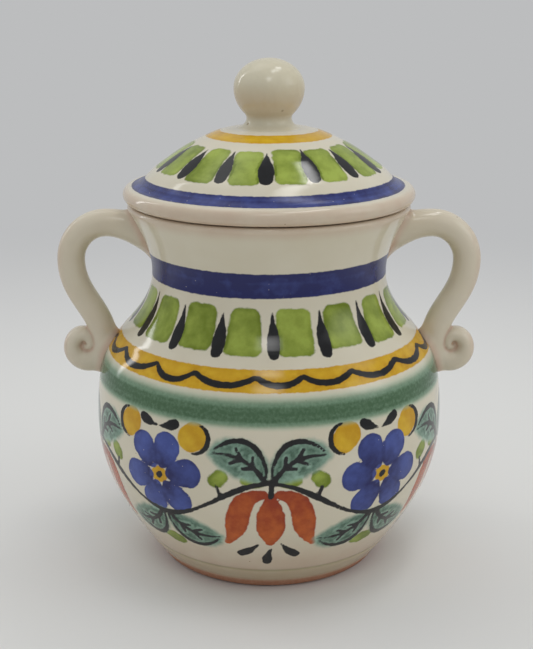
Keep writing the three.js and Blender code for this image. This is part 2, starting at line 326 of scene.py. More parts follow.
class GlazeNodes:
    """Nodes of one tin glaze while they are put together: its cloudy patterns and the piece's own marks."""

    # About how wide a pattern's patches are in millimetres, and how finely they break up. Rings are the
    # thrower's finger marks. Sand in the clay is about 0.2 mm, and drawn as coarse as it needs to show.
    CLOUDS: ClassVar[dict[str, Point]] = {
        "cream": (16.0, 3.0), "drift": (7.0, 3.0), "haze": (9.0, 2.0), "rings": (2.6, 2.0), "clay": (0.9, 4.0),
        "sand": (0.5, 3.0),
    }
    FRAY: ClassVar[Point] = (1.6, 3.0)
    # Stretch of a pattern's values that is spread over its whole effect.
    DRIFT_RANGE, FRAY_RANGE, GRAIN_RANGE = (-0.3, 0.9), (0.2, 0.8), (0.3, 0.7)
    GRAIN_DETAIL = 5.0
    RIPPLE_DETAIL = 1.0
    CLOUD_ROUGHNESS = 0.55
    RING_STRETCH: ClassVar[Place] = (0.06, 0.06, 1.0)
    RING_HEIGHT = 0.04
    SAND_HEIGHT = 0.25
    SPECKS_APART = 5.0
    # Pinholes are about 0.05 mm wide and drawn coarser, because they would not show.
    PINHOLES_APART, PINHOLE_RADIUS = 1.4, 0.13

    def __init__(self, glaze: TinGlaze, tree: Tree) -> None:
        """Add the patterns and marks that the glaze is mixed from.

        Args:
            glaze: the finish that is built.
            tree: its empty tree.
        """
        self.glaze, self.tree = glaze, tree
        self.place = add_node(tree, "ShaderNodeTexCoord", out="Object")
        stretched = add_node(tree, "ShaderNodeMapping", {"Vector": self.place, "Scale": self.RING_STRETCH})
        sizes = {**self.CLOUDS, "ripple": (glaze.ripple_size, self.RIPPLE_DETAIL)}
        marks = ["thin", "bare"]
        if glaze.painted:
            sizes["fray"] = self.FRAY
            sizes |= {wash.pigment.value: (wash.grain, self.GRAIN_DETAIL) for wash in WASHES}
            marks += ["pooled_and_shaded", "load", *(pigment.value for pigment in Pigment)]
        self.clouds: dict[str, Socket] = {}
        for name, (size, detail) in sizes.items():
            self.clouds[name] = add_node(tree, "ShaderNodeTexNoise", {
                "Vector": stretched if name == "rings" else self.place, "Scale": per_mm(size),
                "Detail": detail, "Roughness": self.CLOUD_ROUGHNESS,
            }, out="Fac")
        self.marks: dict[str, Socket] = {}
        for name in marks:
            self.marks[name] = add_node(tree, "ShaderNodeAttribute", attribute_name=name, out="Fac")

    def ground(self) -> Socket:
        """Give the ground: cloudy cream, warm where the glaze runs thin and where shade is painted, olive in a line
        where it lies thick, with painted shade there too.

        Returns:
            The colour socket.
        """
        glaze, tree = self.glaze, self.tree
        low, high = self.DRIFT_RANGE
        drift = add_node(tree, "ShaderNodeMapRange", {0: self.clouds["drift"], 1: low, 2: high})
        thin_and_shade = add_node(tree, "ShaderNodeMath", {0: self.marks["thin"], 1: drift}, operation="MULTIPLY")
        tints = [(self.clouds["cream"], glaze.cream_warm), (thin_and_shade, glaze.thin)]
        if glaze.painted:
            tints.append((self.marks["pooled_and_shaded"], glaze.pooled_and_shaded))
        tints.append((self._dots(self.SPECKS_APART, glaze.speck_radius, 1 - glaze.specks), glaze.speck))
        colour = linear(glaze.cream)
        for share, tint in tints:
            colour = add_node(tree, "ShaderNodeMix", {0: share, 6: colour, 7: linear(tint)}, data_type="RGBA", out=2)
        return colour

    def _dots(self, apart: float, radius: float, dropped: float) -> Socket:
        """Give scattered dots.

        Args:
            apart: about how far apart they lie, in millimetres.
            radius: how wide the largest is, in millimetres.
            dropped: share of the dots that are left out.

        Returns:
            A socket that is 1 in the dots.
        """
        tree, share = self.tree, radius / apart
        cells = add_node(tree, "ShaderNodeTexVoronoi", {"Vector": self.place, "Scale": per_mm(apart)}).node.outputs
        near = add_node(tree, "ShaderNodeMapRange", {0: cells["Distance"], 1: share, 2: share / 2})
        lot = add_node(tree, "ShaderNodeSeparateColor", {0: cells["Color"]})
        kept = add_node(tree, "ShaderNodeMath", {0: lot, 1: dropped}, operation="GREATER_THAN")
        return add_node(tree, "ShaderNodeMath", {0: near, 1: kept}, operation="MULTIPLY")

    def lay(self, under: Socket, wash: Wash) -> tuple[Socket, Socket]:
        """Lay one pigment over what is already there.

        Args:
            under: the colour under the pigment.
            wash: how the pigment looks.

        Returns:
            The colour with the pigment on it, and where the pigment lies.
        """
        tree, name = self.tree, wash.pigment.value
        low, high = self.FRAY_RANGE
        fray = add_node(tree, "ShaderNodeMapRange", {
            0: self.clouds["fray"], 1: low, 2: high, 3: -wash.ragged, 4: wash.ragged,
        })
        inside = add_node(tree, "ShaderNodeMath", {0: self.marks[name], 1: fray}, operation="ADD")
        mask = add_node(tree, "ShaderNodeMapRange", {
            0: inside, 1: wash.edge, 2: -wash.edge,
        }, interpolation_type="SMOOTHSTEP")
        if wash.pinholes:
            holes = self._dots(self.PINHOLES_APART, self.PINHOLE_RADIUS, 1 - wash.pinholes)
            mask = add_node(tree, "ShaderNodeMath", {0: mask, 1: holes}, operation="SUBTRACT", use_clamp=True)
        low, high = self.GRAIN_RANGE
        changes = [{0: self.clouds[name], 1: low, 2: high, 3: -wash.mottle, 4: wash.mottle}]
        if wash.pool:
            changes.append({0: inside, 1: -wash.reach, 2: 0.0, 4: wash.pool})
        load = self.marks["load"]
        for change in changes:
            more = add_node(tree, "ShaderNodeMapRange", change)
            load = add_node(tree, "ShaderNodeMath", {0: load, 1: more}, operation="ADD")
        load = add_node(tree, "ShaderNodeClamp", {0: load})
        paint = add_node(tree, "ShaderNodeMix", {
            0: load, 6: linear(wash.watery), 7: linear(wash.full),
        }, data_type="RGBA", out=2)
        laid = add_node(tree, "ShaderNodeMix", {0: mask, 6: under, 7: paint}, data_type="RGBA", out=2)
        return laid, mask

    def relief(self) -> Socket:
        """Give the surface its faint throwing rings, glaze ripple and sandy bare clay.

        Returns:
            The normal socket.
        """
        sand = add_node(self.tree, "ShaderNodeMath", {
            0: self.clouds["sand"], 1: self.marks["bare"],
        }, operation="MULTIPLY")
        heights = (
            (self.clouds["rings"], self.RING_HEIGHT),
            (self.clouds["ripple"], self.glaze.ripple),
            (sand, self.SAND_HEIGHT),
        )
        below: dict[str, Socket] = {}
        for height, distance in heights:
            links = {"Height": height, "Strength": 1.0, "Distance": distance * MM, **below}
            below["Normal"] = add_node(self.tree, "ShaderNodeBump", links)
        return below["Normal"]


class SweepTool:
    """A Geometry Nodes tree that wraps a sheet round stations into a closed surface, kept as a plain mesh."""

    WELD = 0.002

    def __init__(self, name: str, values: dict[str, str], inputs: dict[str, str]) -> None:
        """Start the tree: its named inputs, the flat sheet, and the stations' values spread over it.

        Args:
            name: the tree's name.
            values: name and data type of what each station carries.
            inputs: name and socket type of the inputs that only this tree has.
        """
        self.tree = bpy.data.node_groups.new(name, "GeometryNodeTree")
        sockets = {"Stations": "Geometry", "Rows": "Int", "Points Round": "Int", "Material": "Material", **inputs}
        for label, kind in sockets.items():
            self.tree.interface.new_socket(label, in_out="INPUT", socket_type=f"NodeSocket{kind}")
        self.tree.interface.new_socket("Surface", in_out="OUTPUT", socket_type="NodeSocketGeometry")
        self.given = add_node(self.tree, "NodeGroupInput").node.outputs
        sheet = add_node(self.tree, "GeometryNodeMeshGrid", {
            "Size X": TURN, "Size Y": 1.0, "Vertices X": self.given["Points Round"], "Vertices Y": self.given["Rows"],
        }).node.outputs
        self.shape = add_node(self.tree, "GeometryNodeStoreNamedAttribute", {
            "Geometry": sheet["Mesh"], "Name": "UVMap", "Value": sheet["UV Map"],
        }, data_type="FLOAT2", domain="CORNER")
        flat = add_node(self.tree, "GeometryNodeInputPosition")
        across = add_node(self.tree, "ShaderNodeSeparateXYZ", {0: flat})
        self.turn = add_node(self.tree, "ShaderNodeMath", {0: across, 1: math.pi}, operation="ADD")
        # The sheet's points are counted up each column, so the remainder is the row, which is the station.
        count = add_node(self.tree, "GeometryNodeInputIndex")
        station = add_node(self.tree, "ShaderNodeMath", {0: count, 1: self.given["Rows"]}, operation="MODULO")
        self.at: dict[str, Socket] = {}
        for label, kind in values.items():
            value = add_node(self.tree, "GeometryNodeInputNamedAttribute", {"Name": label}, data_type=kind)
            self.at[label] = add_node(self.tree, "GeometryNodeSampleIndex", {
                "Geometry": self.given["Stations"], "Value": value, "Index": station,
            }, data_type=kind, domain="POINT")

    def close(self, position: Socket) -> None:
        """Wrap the sheet, weld its seam and poles, and end the tree.

        Args:
            position: where each point of the sheet goes.
        """
        steps = {
            "GeometryNodeSetPosition": {"Position": position},
            "GeometryNodeMergeByDistance": {"Distance": self.WELD * MM},
            "GeometryNodeSetShadeSmooth": {},
            "GeometryNodeRealizeInstances": {},
            "GeometryNodeSetMaterial": {"Material": self.given["Material"]},
        }
        for kind, links in steps.items():
            self.shape = add_node(self.tree, kind, {"Geometry": self.shape, **links})
        add_node(self.tree, "NodeGroupOutput", {0: self.shape})

    def make(self, name: str, values: dict[str, np.ndarray], settings: dict[str, object]) -> bpy.types.Object:
        """Run the tree on stations and keep the result as a plain mesh.

        Args:
            name: the piece's name.
            values: what the stations carry, one number or row of three each, in metres where they are lengths.
            settings: the tree's inputs by name.

        Returns:
            The piece, at the origin, with outward faces and no modifier.
        """
        rows = len(values["place"])
        mesh = bpy.data.meshes.new(f"{name}_stations")
        mesh.vertices.add(rows)
        for label, data in values.items():
            kind, key = ("FLOAT_VECTOR", "vector") if data.ndim == 2 else ("FLOAT", "value")
            mesh.attributes.new(label, kind, "POINT").data.foreach_set(key, data.astype(np.float32).ravel())
        piece = bpy.data.objects.new(name, mesh)
        bpy.context.scene.collection.objects.link(piece)
        modifier = piece.modifiers.new("shape", "NODES")
        modifier.node_group = self.tree
        sockets = {s.name: s.identifier for s in self.tree.interface.items_tree if s.in_out == "INPUT"}
        for label, value in {**settings, "Rows": rows}.items():
            modifier[sockets[label]] = value
        keep_result(piece)
        return piece


def keep_result(piece: bpy.types.Object) -> None:
    """Put the result of a piece's modifiers into its mesh, with its faces pointing out.

    Args:
        piece: an object with live modifiers.
    """
    graph = bpy.context.evaluated_depsgraph_get()
    mesh = bpy.data.meshes.new_from_object(piece.evaluated_get(graph), preserve_all_data_layers=True, depsgraph=graph)
    old = piece.data
    piece.modifiers.clear()
    piece.data = mesh
    bpy.data.meshes.remove(old)
    mesh.name = piece.name
    shell = bmesh.new()
    shell.from_mesh(mesh)
    if shell.calc_volume(signed=True) < 0:
        bmesh.ops.reverse_faces(shell, faces=shell.faces)
        shell.to_mesh(mesh)
    shell.free()


def numbers_of(items: bpy.types.bpy_prop_collection, key: str, wide: int = 1) -> np.ndarray:
    """Read one property of all items of a mesh's list.

    Args:
        items: the list, such as the mesh's vertices.
        key: the property.
        wide: how many numbers each item has.

    Returns:
        The numbers, in rows where an item has more than one.
    """
    flat = np.empty(len(items) * wide, np.float32)
    items.foreach_get(key, flat)
    return flat.astype(float).reshape((-1, wide) if wide > 1 else -1)


def points_of(mesh: bpy.types.Mesh) -> np.ndarray:
    """Give a mesh's points in millimetres, one row each."""
    return numbers_of(mesh.vertices, "co", 3) / MM


def set_floats(mesh: bpy.types.Mesh, name: str, values: np.ndarray) -> None:
    """Store a float for each point of a mesh."""
    layer = mesh.attributes.get(name) or mesh.attributes.new(name, "FLOAT", "POINT")
    layer.data.foreach_set("value", values.astype(np.float32))


def hollows_of(mesh: bpy.types.Mesh, sharp: float = 1.6, rounds: int = 3) -> np.ndarray:
    """Find the grooves of a mesh, which get painted shade.

    Args:
        mesh: the mesh to look at.
        sharp: radius in millimetres of a groove that counts as full.
        rounds: how often the result is spread to its neighbours.

    Returns:
        0 on flat and round places to 1 in grooves, for each point.
    """
    points, normals = points_of(mesh), numbers_of(mesh.vertex_normals, "vector", 3)
    ends = np.empty(2 * len(mesh.edges), np.int32)
    mesh.edges.foreach_get("vertices", ends)
    ends = ends.reshape(-1, 2)
    apart = points[ends[:, 1]] - points[ends[:, 0]]
    length = np.maximum(np.sum(apart ** 2, 1), 1e-9)
    rise = [sign * np.sum(normals[ends[:, k]] * apart, 1) for k, sign in ((0, 1), (1, -1))]
    bend = np.stack(rise, 1) / length[:, None]
    count = np.bincount(ends.ravel(), minlength=len(points))
    bend = np.bincount(ends.ravel(), bend.ravel(), len(points)) / count
    for _ in range(rounds):
        bend = np.bincount(ends.ravel(), bend[ends[:, ::-1]].ravel(), len(points)) / count
    return np.clip(2 * bend * sharp, 0, 1)


def seat_piece(piece: bpy.types.Object, body: str, node: str) -> None:
    """Ride a finished piece on its body in place of a solid.

    Args:
        piece: the finished piece.
        body: the body that it moves with.
        node: the solid that it stands for.
    """
    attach(piece, body)
    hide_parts(node)
    LOG.info("%s rides on %s with %d faces", piece.name, body, len(piece.data.polygons))


def throwing_wheel() -> SweepTool:
    """Build the tree that turns an outline round the Z axis, slightly out of true as thrown ware is.

    Returns:
        The tool; its stations lie in the XZ plane and carry the value run.
    """
    tool = SweepTool("throwing_wheel", {"place": "FLOAT_VECTOR", "run": "FLOAT"}, {"Wobble": "Float", "Seed": "Int"})
    tree = tool.tree
    # Scale of the lumps round the axis and per metre up it, and how soon they set in, per metre out of a pole.
    lump_scale, lump_rise, pole_hold = 1.3, 20.0, 200.0
    radius, _, height = add_node(tree, "ShaderNodeSeparateXYZ", {0: tool.at["place"]}).node.outputs
    rise = add_node(tree, "ShaderNodeMath", {0: height, 1: lump_rise}, operation="MULTIPLY")
    unit = add_node(tree, "ShaderNodeCombineXYZ", {0: 1.0, 2: rise})
    spun = add_node(tree, "ShaderNodeVectorRotate", {"Vector": unit, "Angle": tool.turn}, rotation_type="Z_AXIS")
    inward = add_node(tree, "ShaderNodeTexNoise", {
        "Vector": spun, "W": tool.given["Seed"], "Scale": lump_scale, "Detail": 1.0,
    }, noise_dimensions="4D", out="Fac")
    free = add_node(tree, "ShaderNodeMath", {0: radius, 1: pole_hold}, operation="MULTIPLY", use_clamp=True)
    for factor in (tool.given["Wobble"], free):
        inward = add_node(tree, "ShaderNodeMath", {0: inward, 1: factor}, operation="MULTIPLY")
    uneven = add_node(tree, "ShaderNodeMath", {0: radius, 1: inward}, operation="SUBTRACT")
    outline = add_node(tree, "ShaderNodeCombineXYZ", {0: uneven, 2: height})
    turned = add_node(tree, "ShaderNodeVectorRotate", {"Vector": outline, "Angle": tool.turn}, rotation_type="Z_AXIS")
    tool.shape = add_node(tree, "GeometryNodeStoreNamedAttribute", {
        "Geometry": tool.shape, "Name": "run", "Value": tool.at["run"],
    }, data_type="FLOAT", domain="POINT")
    tool.close(turned)
    return tool


def coil_roller() -> SweepTool:
    """Build the tree that rolls a round coil along a run.

    Returns:
        The tool; its stations carry the coil's half thicknesses as the directions rise and breadth.
    """
    tool = SweepTool("coil_roller", dict.fromkeys(("place", "rise", "breadth"), "FLOAT_VECTOR"), {})
    tree, position = tool.tree, tool.at["place"]
    for label, operation in (("rise", "COSINE"), ("breadth", "SINE")):
        share = add_node(tree, "ShaderNodeMath", {0: tool.turn}, operation=operation)
        shift = add_node(tree, "ShaderNodeVectorMath", {0: tool.at[label], "Scale": share}, operation="SCALE")
        position = add_node(tree, "ShaderNodeVectorMath", {0: position, 1: shift}, operation="ADD")
    tool.close(position)
    return tool


@dataclass(frozen=True)
class Wall:
    """Thrown wall of the pot, in millimetres from the standing plane."""

    foot_radius: float = 32.0
    foot_ring: float = 5.5
    foot_recess: float = 1.6
    foot_round: float = 0.7
    line_height: float = 7.7
    line_width: float = 1.3
    line_depth: float = 0.35
    belly_radius: float = 50.7
    belly_height: float = 41.7
    shoulder_radius: float = 42.9
    shoulder_height: float = 68.3
    waist_radius: float = 33.8
    waist_height: float = 86.0
    rim_radius: float = 40.4
    height: float = 105.1
    thickness: float = 4.4
    floor: float = 6.5
    rim_round: float = 1.1
    heel_share: float = 0.28
    heel_slope: float = 0.72
    belly_hold: float = 0.58
    shoulder_ease: float = 0.18
    shoulder_swell: float = 0.37
    neck_ease: float = 0.52
    waist_ease: float = 0.41
    flare_rise: float = 0.33

    def outer(self) -> np.ndarray:
        """Give the outer face from the foot to the rim's rounded edge.

        Returns:
            Radius and height of its points, one row each.
        """
        top = self.height - self.rim_round
        foot, belly = (self.foot_radius, 0.0), (self.belly_radius, self.belly_height)
        shoulder, waist = (self.shoulder_radius, self.shoulder_height), (self.waist_radius, self.waist_height)
        heel = self.belly_height * self.heel_share
        under = self.shoulder_height - (self.shoulder_height - self.belly_height) * self.shoulder_ease
        swell = (self.belly_radius - self.shoulder_radius) * self.shoulder_swell
        neck = (self.shoulder_radius - self.waist_radius) * self.neck_ease
        dip = (self.waist_height - self.shoulder_height) * self.waist_ease
        flare = (top - self.waist_height) * self.flare_rise
        stretches = (
            [foot, (self.foot_radius + heel * self.heel_slope, heel),
             (self.belly_radius, self.belly_height * self.belly_hold), belly],
            [belly, (self.belly_radius, under), (self.shoulder_radius + swell, under), shoulder],
            [shoulder, (self.shoulder_radius - neck, self.shoulder_height + neck),
             (self.waist_radius, self.waist_height - dip), waist],
            [waist, (self.waist_radius, self.waist_height + flare),
             ((self.waist_radius + self.rim_radius) / 2, top - flare), (self.rim_radius, top)],
        )
        return np.concatenate([bezier(points)[min(number, 1):] for number, points in enumerate(stretches)])

    def line_run(self) -> float:
        """Give the run along the outer face at which the foot's line is turned."""
        face = self.outer()
        return float(np.interp(self.line_height, face[:, 1], run_of(face)))

    def inner(self) -> np.ndarray:
        """Give the inner face from low to high.

        Returns:
            Radius and height of its points, one row each.
        """
        face = even(self.outer(), 1.0)
        along = along_of(face)
        return face + self.thickness * np.stack([-along[:, 1], along[:, 0]], 1)

    def _lean(self, points: np.ndarray) -> np.ndarray:
        """Give how fast the outer face widens upwards at the height of points."""
        face = self.outer()
        return np.interp(points[:, 2], face[:, 1], np.gradient(face[:, 0], face[:, 1]))

    def depth(self, points: np.ndarray) -> np.ndarray:
        """Give how far points lie outside the outer face, less than zero inside it.

        Args:
            points: places in millimetres, one row of three each.

        Returns:
            The distance square to the face.
        """
        face = self.outer()
        there = np.interp(points[:, 2], face[:, 1], face[:, 0])
        return (np.hypot(points[:, 0], points[:, 1]) - there) / np.sqrt(1 + self._lean(points) ** 2)

    def outward(self, points: np.ndarray) -> np.ndarray:
        """Give the direction square out of the outer face near points.

        Args:
            points: places in millimetres, one row of three each.

        Returns:
            One unit row each.
        """
        radius = np.maximum(np.hypot(points[:, 0], points[:, 1]), TINY)
        out = np.stack([points[:, 0] / radius, points[:, 1] / radius, -self._lean(points)], 1)
        return out / np.linalg.norm(out, axis=1)[:, None]


@dataclass(frozen=True)
class Border:
    """Border of green blocks with a black drop between each two, in millimetres and radians.

    Count is how many of each go round, and front the angle of the drop nearest the front. Narrow is the
    run of the edge nearer the axis, where the drops have their tips, and wide that of the other edge.
    Width is a block's in the middle, and drop the half width of a drop's fat end, which sits at fat_end
    times a block's half height. Load is how full the brush is in a block's middle.
    """

    count: int
    front: float
    narrow: float
    wide: float
    width: float
    drop: float
    fat_end: float
    load: float


@dataclass
class Patch:
    """Flat stretch of a painted face: its points' numbers, and their x to the right and y up in millimetres."""

    canvas: "Canvas"
    index: np.ndarray
    x: np.ndarray
    y: np.ndarray

    def stroke(self, pigment: Pigment, path: Sequence[Point], widths: Sequence[float], load: Point) -> None:
        """Lay one brush stroke along a path, swelling and thinning.

        Args:
            pigment: the colour.
            path: control points of the stroke's Bezier run.
            widths: half widths spaced evenly along it.
            load: how full the brush is at its start and end.
        """
        line = bezier(path, max(2 if len(path) == 2 else 10, 2 * len(widths)))
        share = np.linspace(0, 1, len(line))
        wide = np.interp(share, np.linspace(0, 1, len(widths)), widths)
        best, fill = np.full(len(self.x), FAR), np.zeros(len(self.x))
        for i, ((ax, ay), (bx, by)) in enumerate(zip(line, line[1:])):
            dx, dy = bx - ax, by - ay
            t = np.clip(((self.x - ax) * dx + (self.y - ay) * dy) / max(dx ** 2 + dy ** 2, 1e-9), 0, 1)
            distance = np.hypot(self.x - ax - t * dx, self.y - ay - t * dy) - (wide[i] + (wide[i + 1] - wide[i]) * t)
            fill = np.where(distance < best, share[i] + t * (share[i + 1] - share[i]), fill)
            best = np.minimum(best, distance)
        self.canvas.lay(pigment, self.index, best, load[0] + (load[1] - load[0]) * fill)


class Canvas:
    """Painted face of a turned piece: each point's place on it, and its distance into each colour."""

    # How far a mark's load of colour reaches past its edge, and the brush's load where nothing is painted.
    LOAD_REACH, START_LOAD = 0.6, 0.6
    WIDEST_PATCH = 1.2
    BAND_WAVER = 0.16
    # Streaks of the brush in a band: waves per millimetre, how far they wander and how strong they are.
    STREAKS: ClassVar[tuple[Place, ...]] = ((4.3, 0.9, 0.07), (1.7, 1.2, 0.08))
    BLOCK_CORNER, BLOCK_TAPER, BLOCK_SHADE, BORDER_MARGIN = 2.0, 0.12, 0.35, 6.0
    DROP_TIP = 0.9
    DROP_SHARES: ClassVar[tuple[float, ...]] = (0.3, 0.66, 0.95, 1.0, 0.85)
    # How round the points between scallops are, how flat a scallop hangs, and the steepest slope that counts.
    CREST_ROUND, HANG_POWER, STEEPEST = 0.18, 2.2, 1.2

    def __init__(self, mesh: bpy.types.Mesh, seed: int) -> None:
        """Read the places from a turned mesh that carries run.

        Args:
            mesh: the turned piece.
            seed: fixes the painter's small unevenness.
        """
        points = points_of(mesh)
        self.mesh = mesh
        self.hand = np.random.default_rng(seed)
        self.run = numbers_of(mesh.attributes["run"].data, "value")
        self.radius = np.hypot(points[:, 0], points[:, 1])
        self.turn = np.arctan2(points[:, 0], -points[:, 1])
        self.face = self.run > OFF_FACE
        self.every = np.nonzero(self.face)[0]
        self.coats = {pigment: np.full(len(points), FAR) for pigment in Pigment}
        self.load = np.full(len(points), self.START_LOAD)

    def jitter(self, spread: float) -> float:
        """Draw a small uneven amount either way."""
        return float(self.hand.uniform(-spread, spread))

    def ripple(self, spread: float, waves: int = 5) -> np.ndarray:
        """Give an uneven amount that changes slowly round the piece.

        Args:
            spread: about how far it goes either way.
            waves: how many waves it is made of.

        Returns:
            The amount at each point.
        """
        total = np.zeros_like(self.turn)
        for wave in range(1, waves + 1):
            total += np.sin(wave * self.turn + self.hand.uniform(0, TURN)) * self.hand.uniform(0.3, 1.0) / wave
        return total * spread

    def near(self, turn: float, run: float, reach: float, lean: float = 0.0) -> Patch:
        """Pick the points near a place, with flat coordinates about it.

        Args:
            turn: the place's angle from the front, in radians.
            run: the place's length along the outline.
            reach: how far to look, in millimetres.
            lean: anticlockwise tilt of the flat axes, in radians.

        Returns:
            The stretch round that place.
        """
        off = (self.turn - turn + math.pi) % TURN - math.pi
        across, up = off * self.radius, self.run - run
        close = (np.abs(across) < reach) & (np.abs(up) < reach) & (np.abs(off) < self.WIDEST_PATCH)
        index = np.nonzero(self.face & close)[0]
        x, y = across[index], up[index]
        cosine, sine = math.cos(lean), math.sin(lean)
        return Patch(self, index, x * cosine + y * sine, y * cosine - x * sine)

    def lay(self, pigment: Pigment, index: np.ndarray, distance: np.ndarray, load: np.ndarray | float) -> None:
        """Lay a colour on points.

        Args:
            pigment: the colour.
            index: the points' numbers.
            distance: their distance to the mark's edge, less than zero in it.
            load: how full the brush is, from 0, watery, to 1.
        """
        coat = self.coats[pigment]
        self.load[index] = np.where(distance < self.LOAD_REACH, load, self.load[index])
        coat[index] = np.minimum(coat[index], distance)

    def band(
        self, pigment: Pigment, low: float, high: float, load: float, tilt: float = 0.0, crisp: float = 1.0,
    ) -> None:
        """Lay a band right round, held against the turning wheel.

        Args:
            pigment: the colour.
            low: run of its lower edge.
            high: run of its upper edge.
            load: how full the brush is.
            tilt: how much higher it sits on the right, in millimetres.
            crisp: how much sharper the lower edge is than the upper one.
        """
        shift = tilt * np.sin(self.turn)
        below = (low + shift + self.ripple(self.BAND_WAVER) - self.run) * crisp
        above = self.run - high - shift - self.ripple(self.BAND_WAVER)
        filled = load + sum(np.sin(self.run * waves + self.ripple(wander)) * strength
                            for waves, wander, strength in self.STREAKS)
        self.lay(pigment, self.every, np.maximum(below, above)[self.every], filled[self.every])

    def blocks_and_drops(self, border: Border) -> None:
        """Lay a border of blocks and drops.

        Args:
            border: its places and sizes.
        """
        middle, half = (border.narrow + border.wide) / 2, abs(border.wide - border.narrow) / 2
        about = 0.0 if border.narrow > border.wide else math.pi
        reach, corner = half + self.BORDER_MARGIN, self.BLOCK_CORNER
        for number in range(border.count):
            place = border.front + TURN * (number + 0.5) / border.count + self.jitter(0.02)
            patch = self.near(place, middle + self.jitter(0.4), reach, about + self.jitter(0.05))
            x, y, high = patch.x, patch.y, patch.y / half
            side = border.width / 2 * (1 + self.jitter(0.07) - self.BLOCK_TAPER * high) + self.jitter(0.05) * y
            tall = half * (1 + self.jitter(0.05))
            qx, qy = np.abs(x) - side + corner, np.abs(y) - tall + corner
            distance = np.hypot(np.maximum(qx, 0), np.maximum(qy, 0)) + np.minimum(np.maximum(qx, qy), 0) - corner
            load = border.load + self.BLOCK_SHADE * high * self.jitter(1.0) + self.jitter(0.15)
            self.lay(Pigment.LIME, patch.index, distance, load)
        for number in range(border.count):
            place = border.front + TURN * number / border.count + self.jitter(0.012)
            patch = self.near(place, middle, reach, about + self.jitter(0.05))
            tip, foot = half * (self.DROP_TIP + self.jitter(0.12)), -half * (border.fat_end + self.jitter(0.08))
            fat = border.drop * (1 + self.jitter(0.1))
            widths = (0.15, *(share * fat for share in self.DROP_SHARES))
            patch.stroke(Pigment.INK, [(0, tip), (0, foot)], widths, (0.5, 0.95))

    def wave_line(self, count: int, front: float, crest: float, trough: float, half: float) -> None:
        """Lay the black line that hangs in scallops round a band.

        Args:
            count: how many scallops go round.
            front: angle of the point between scallops that is nearest the front, in radians.
            crest: run of the points between scallops.
            trough: run of the lowest part of a scallop.
            half: half width of the line.
        """
        starts = front + (np.arange(count) + self.hand.uniform(-0.14, 0.14, count)) * TURN / count
        starts = np.r_[starts, starts[0] + TURN]
        sag = self.hand.uniform(0.75, 1.1, count)
        around = (self.turn - starts[0]) % TURN + starts[0]
        which = np.clip(np.searchsorted(starts, around, side="right") - 1, 0, count - 1)
        wide = starts[which + 1] - starts[which]
        aside = np.abs(2 * (around - starts[which]) / wide - 1)
        hang = 1 - aside ** self.HANG_POWER
        blunt = np.hypot(hang, self.CREST_ROUND)
        lower = blunt - self.CREST_ROUND
        line = crest - (crest - trough) * sag[which] * lower + self.ripple(0.3)
        steep = 2 * self.HANG_POWER * aside ** (self.HANG_POWER - 1) * hang / blunt
        slope = (crest - trough) * steep / np.maximum(wide * self.radius, TINY)
        distance = np.abs(self.run - line) / np.sqrt(1 + np.minimum(slope, self.STEEPEST) ** 2)
        distance -= half * (0.85 + 0.3 * lower)
        self.lay(Pigment.INK, self.every, distance[self.every], 0.85)

    def store(self) -> None:
        """Keep the colours and the brush's load as attributes of the mesh."""
        for pigment, coat in self.coats.items():
            set_floats(self.mesh, pigment.value, np.clip(coat, -FAR, FAR))
        set_floats(self.mesh, "load", np.clip(self.load, 0, 1))


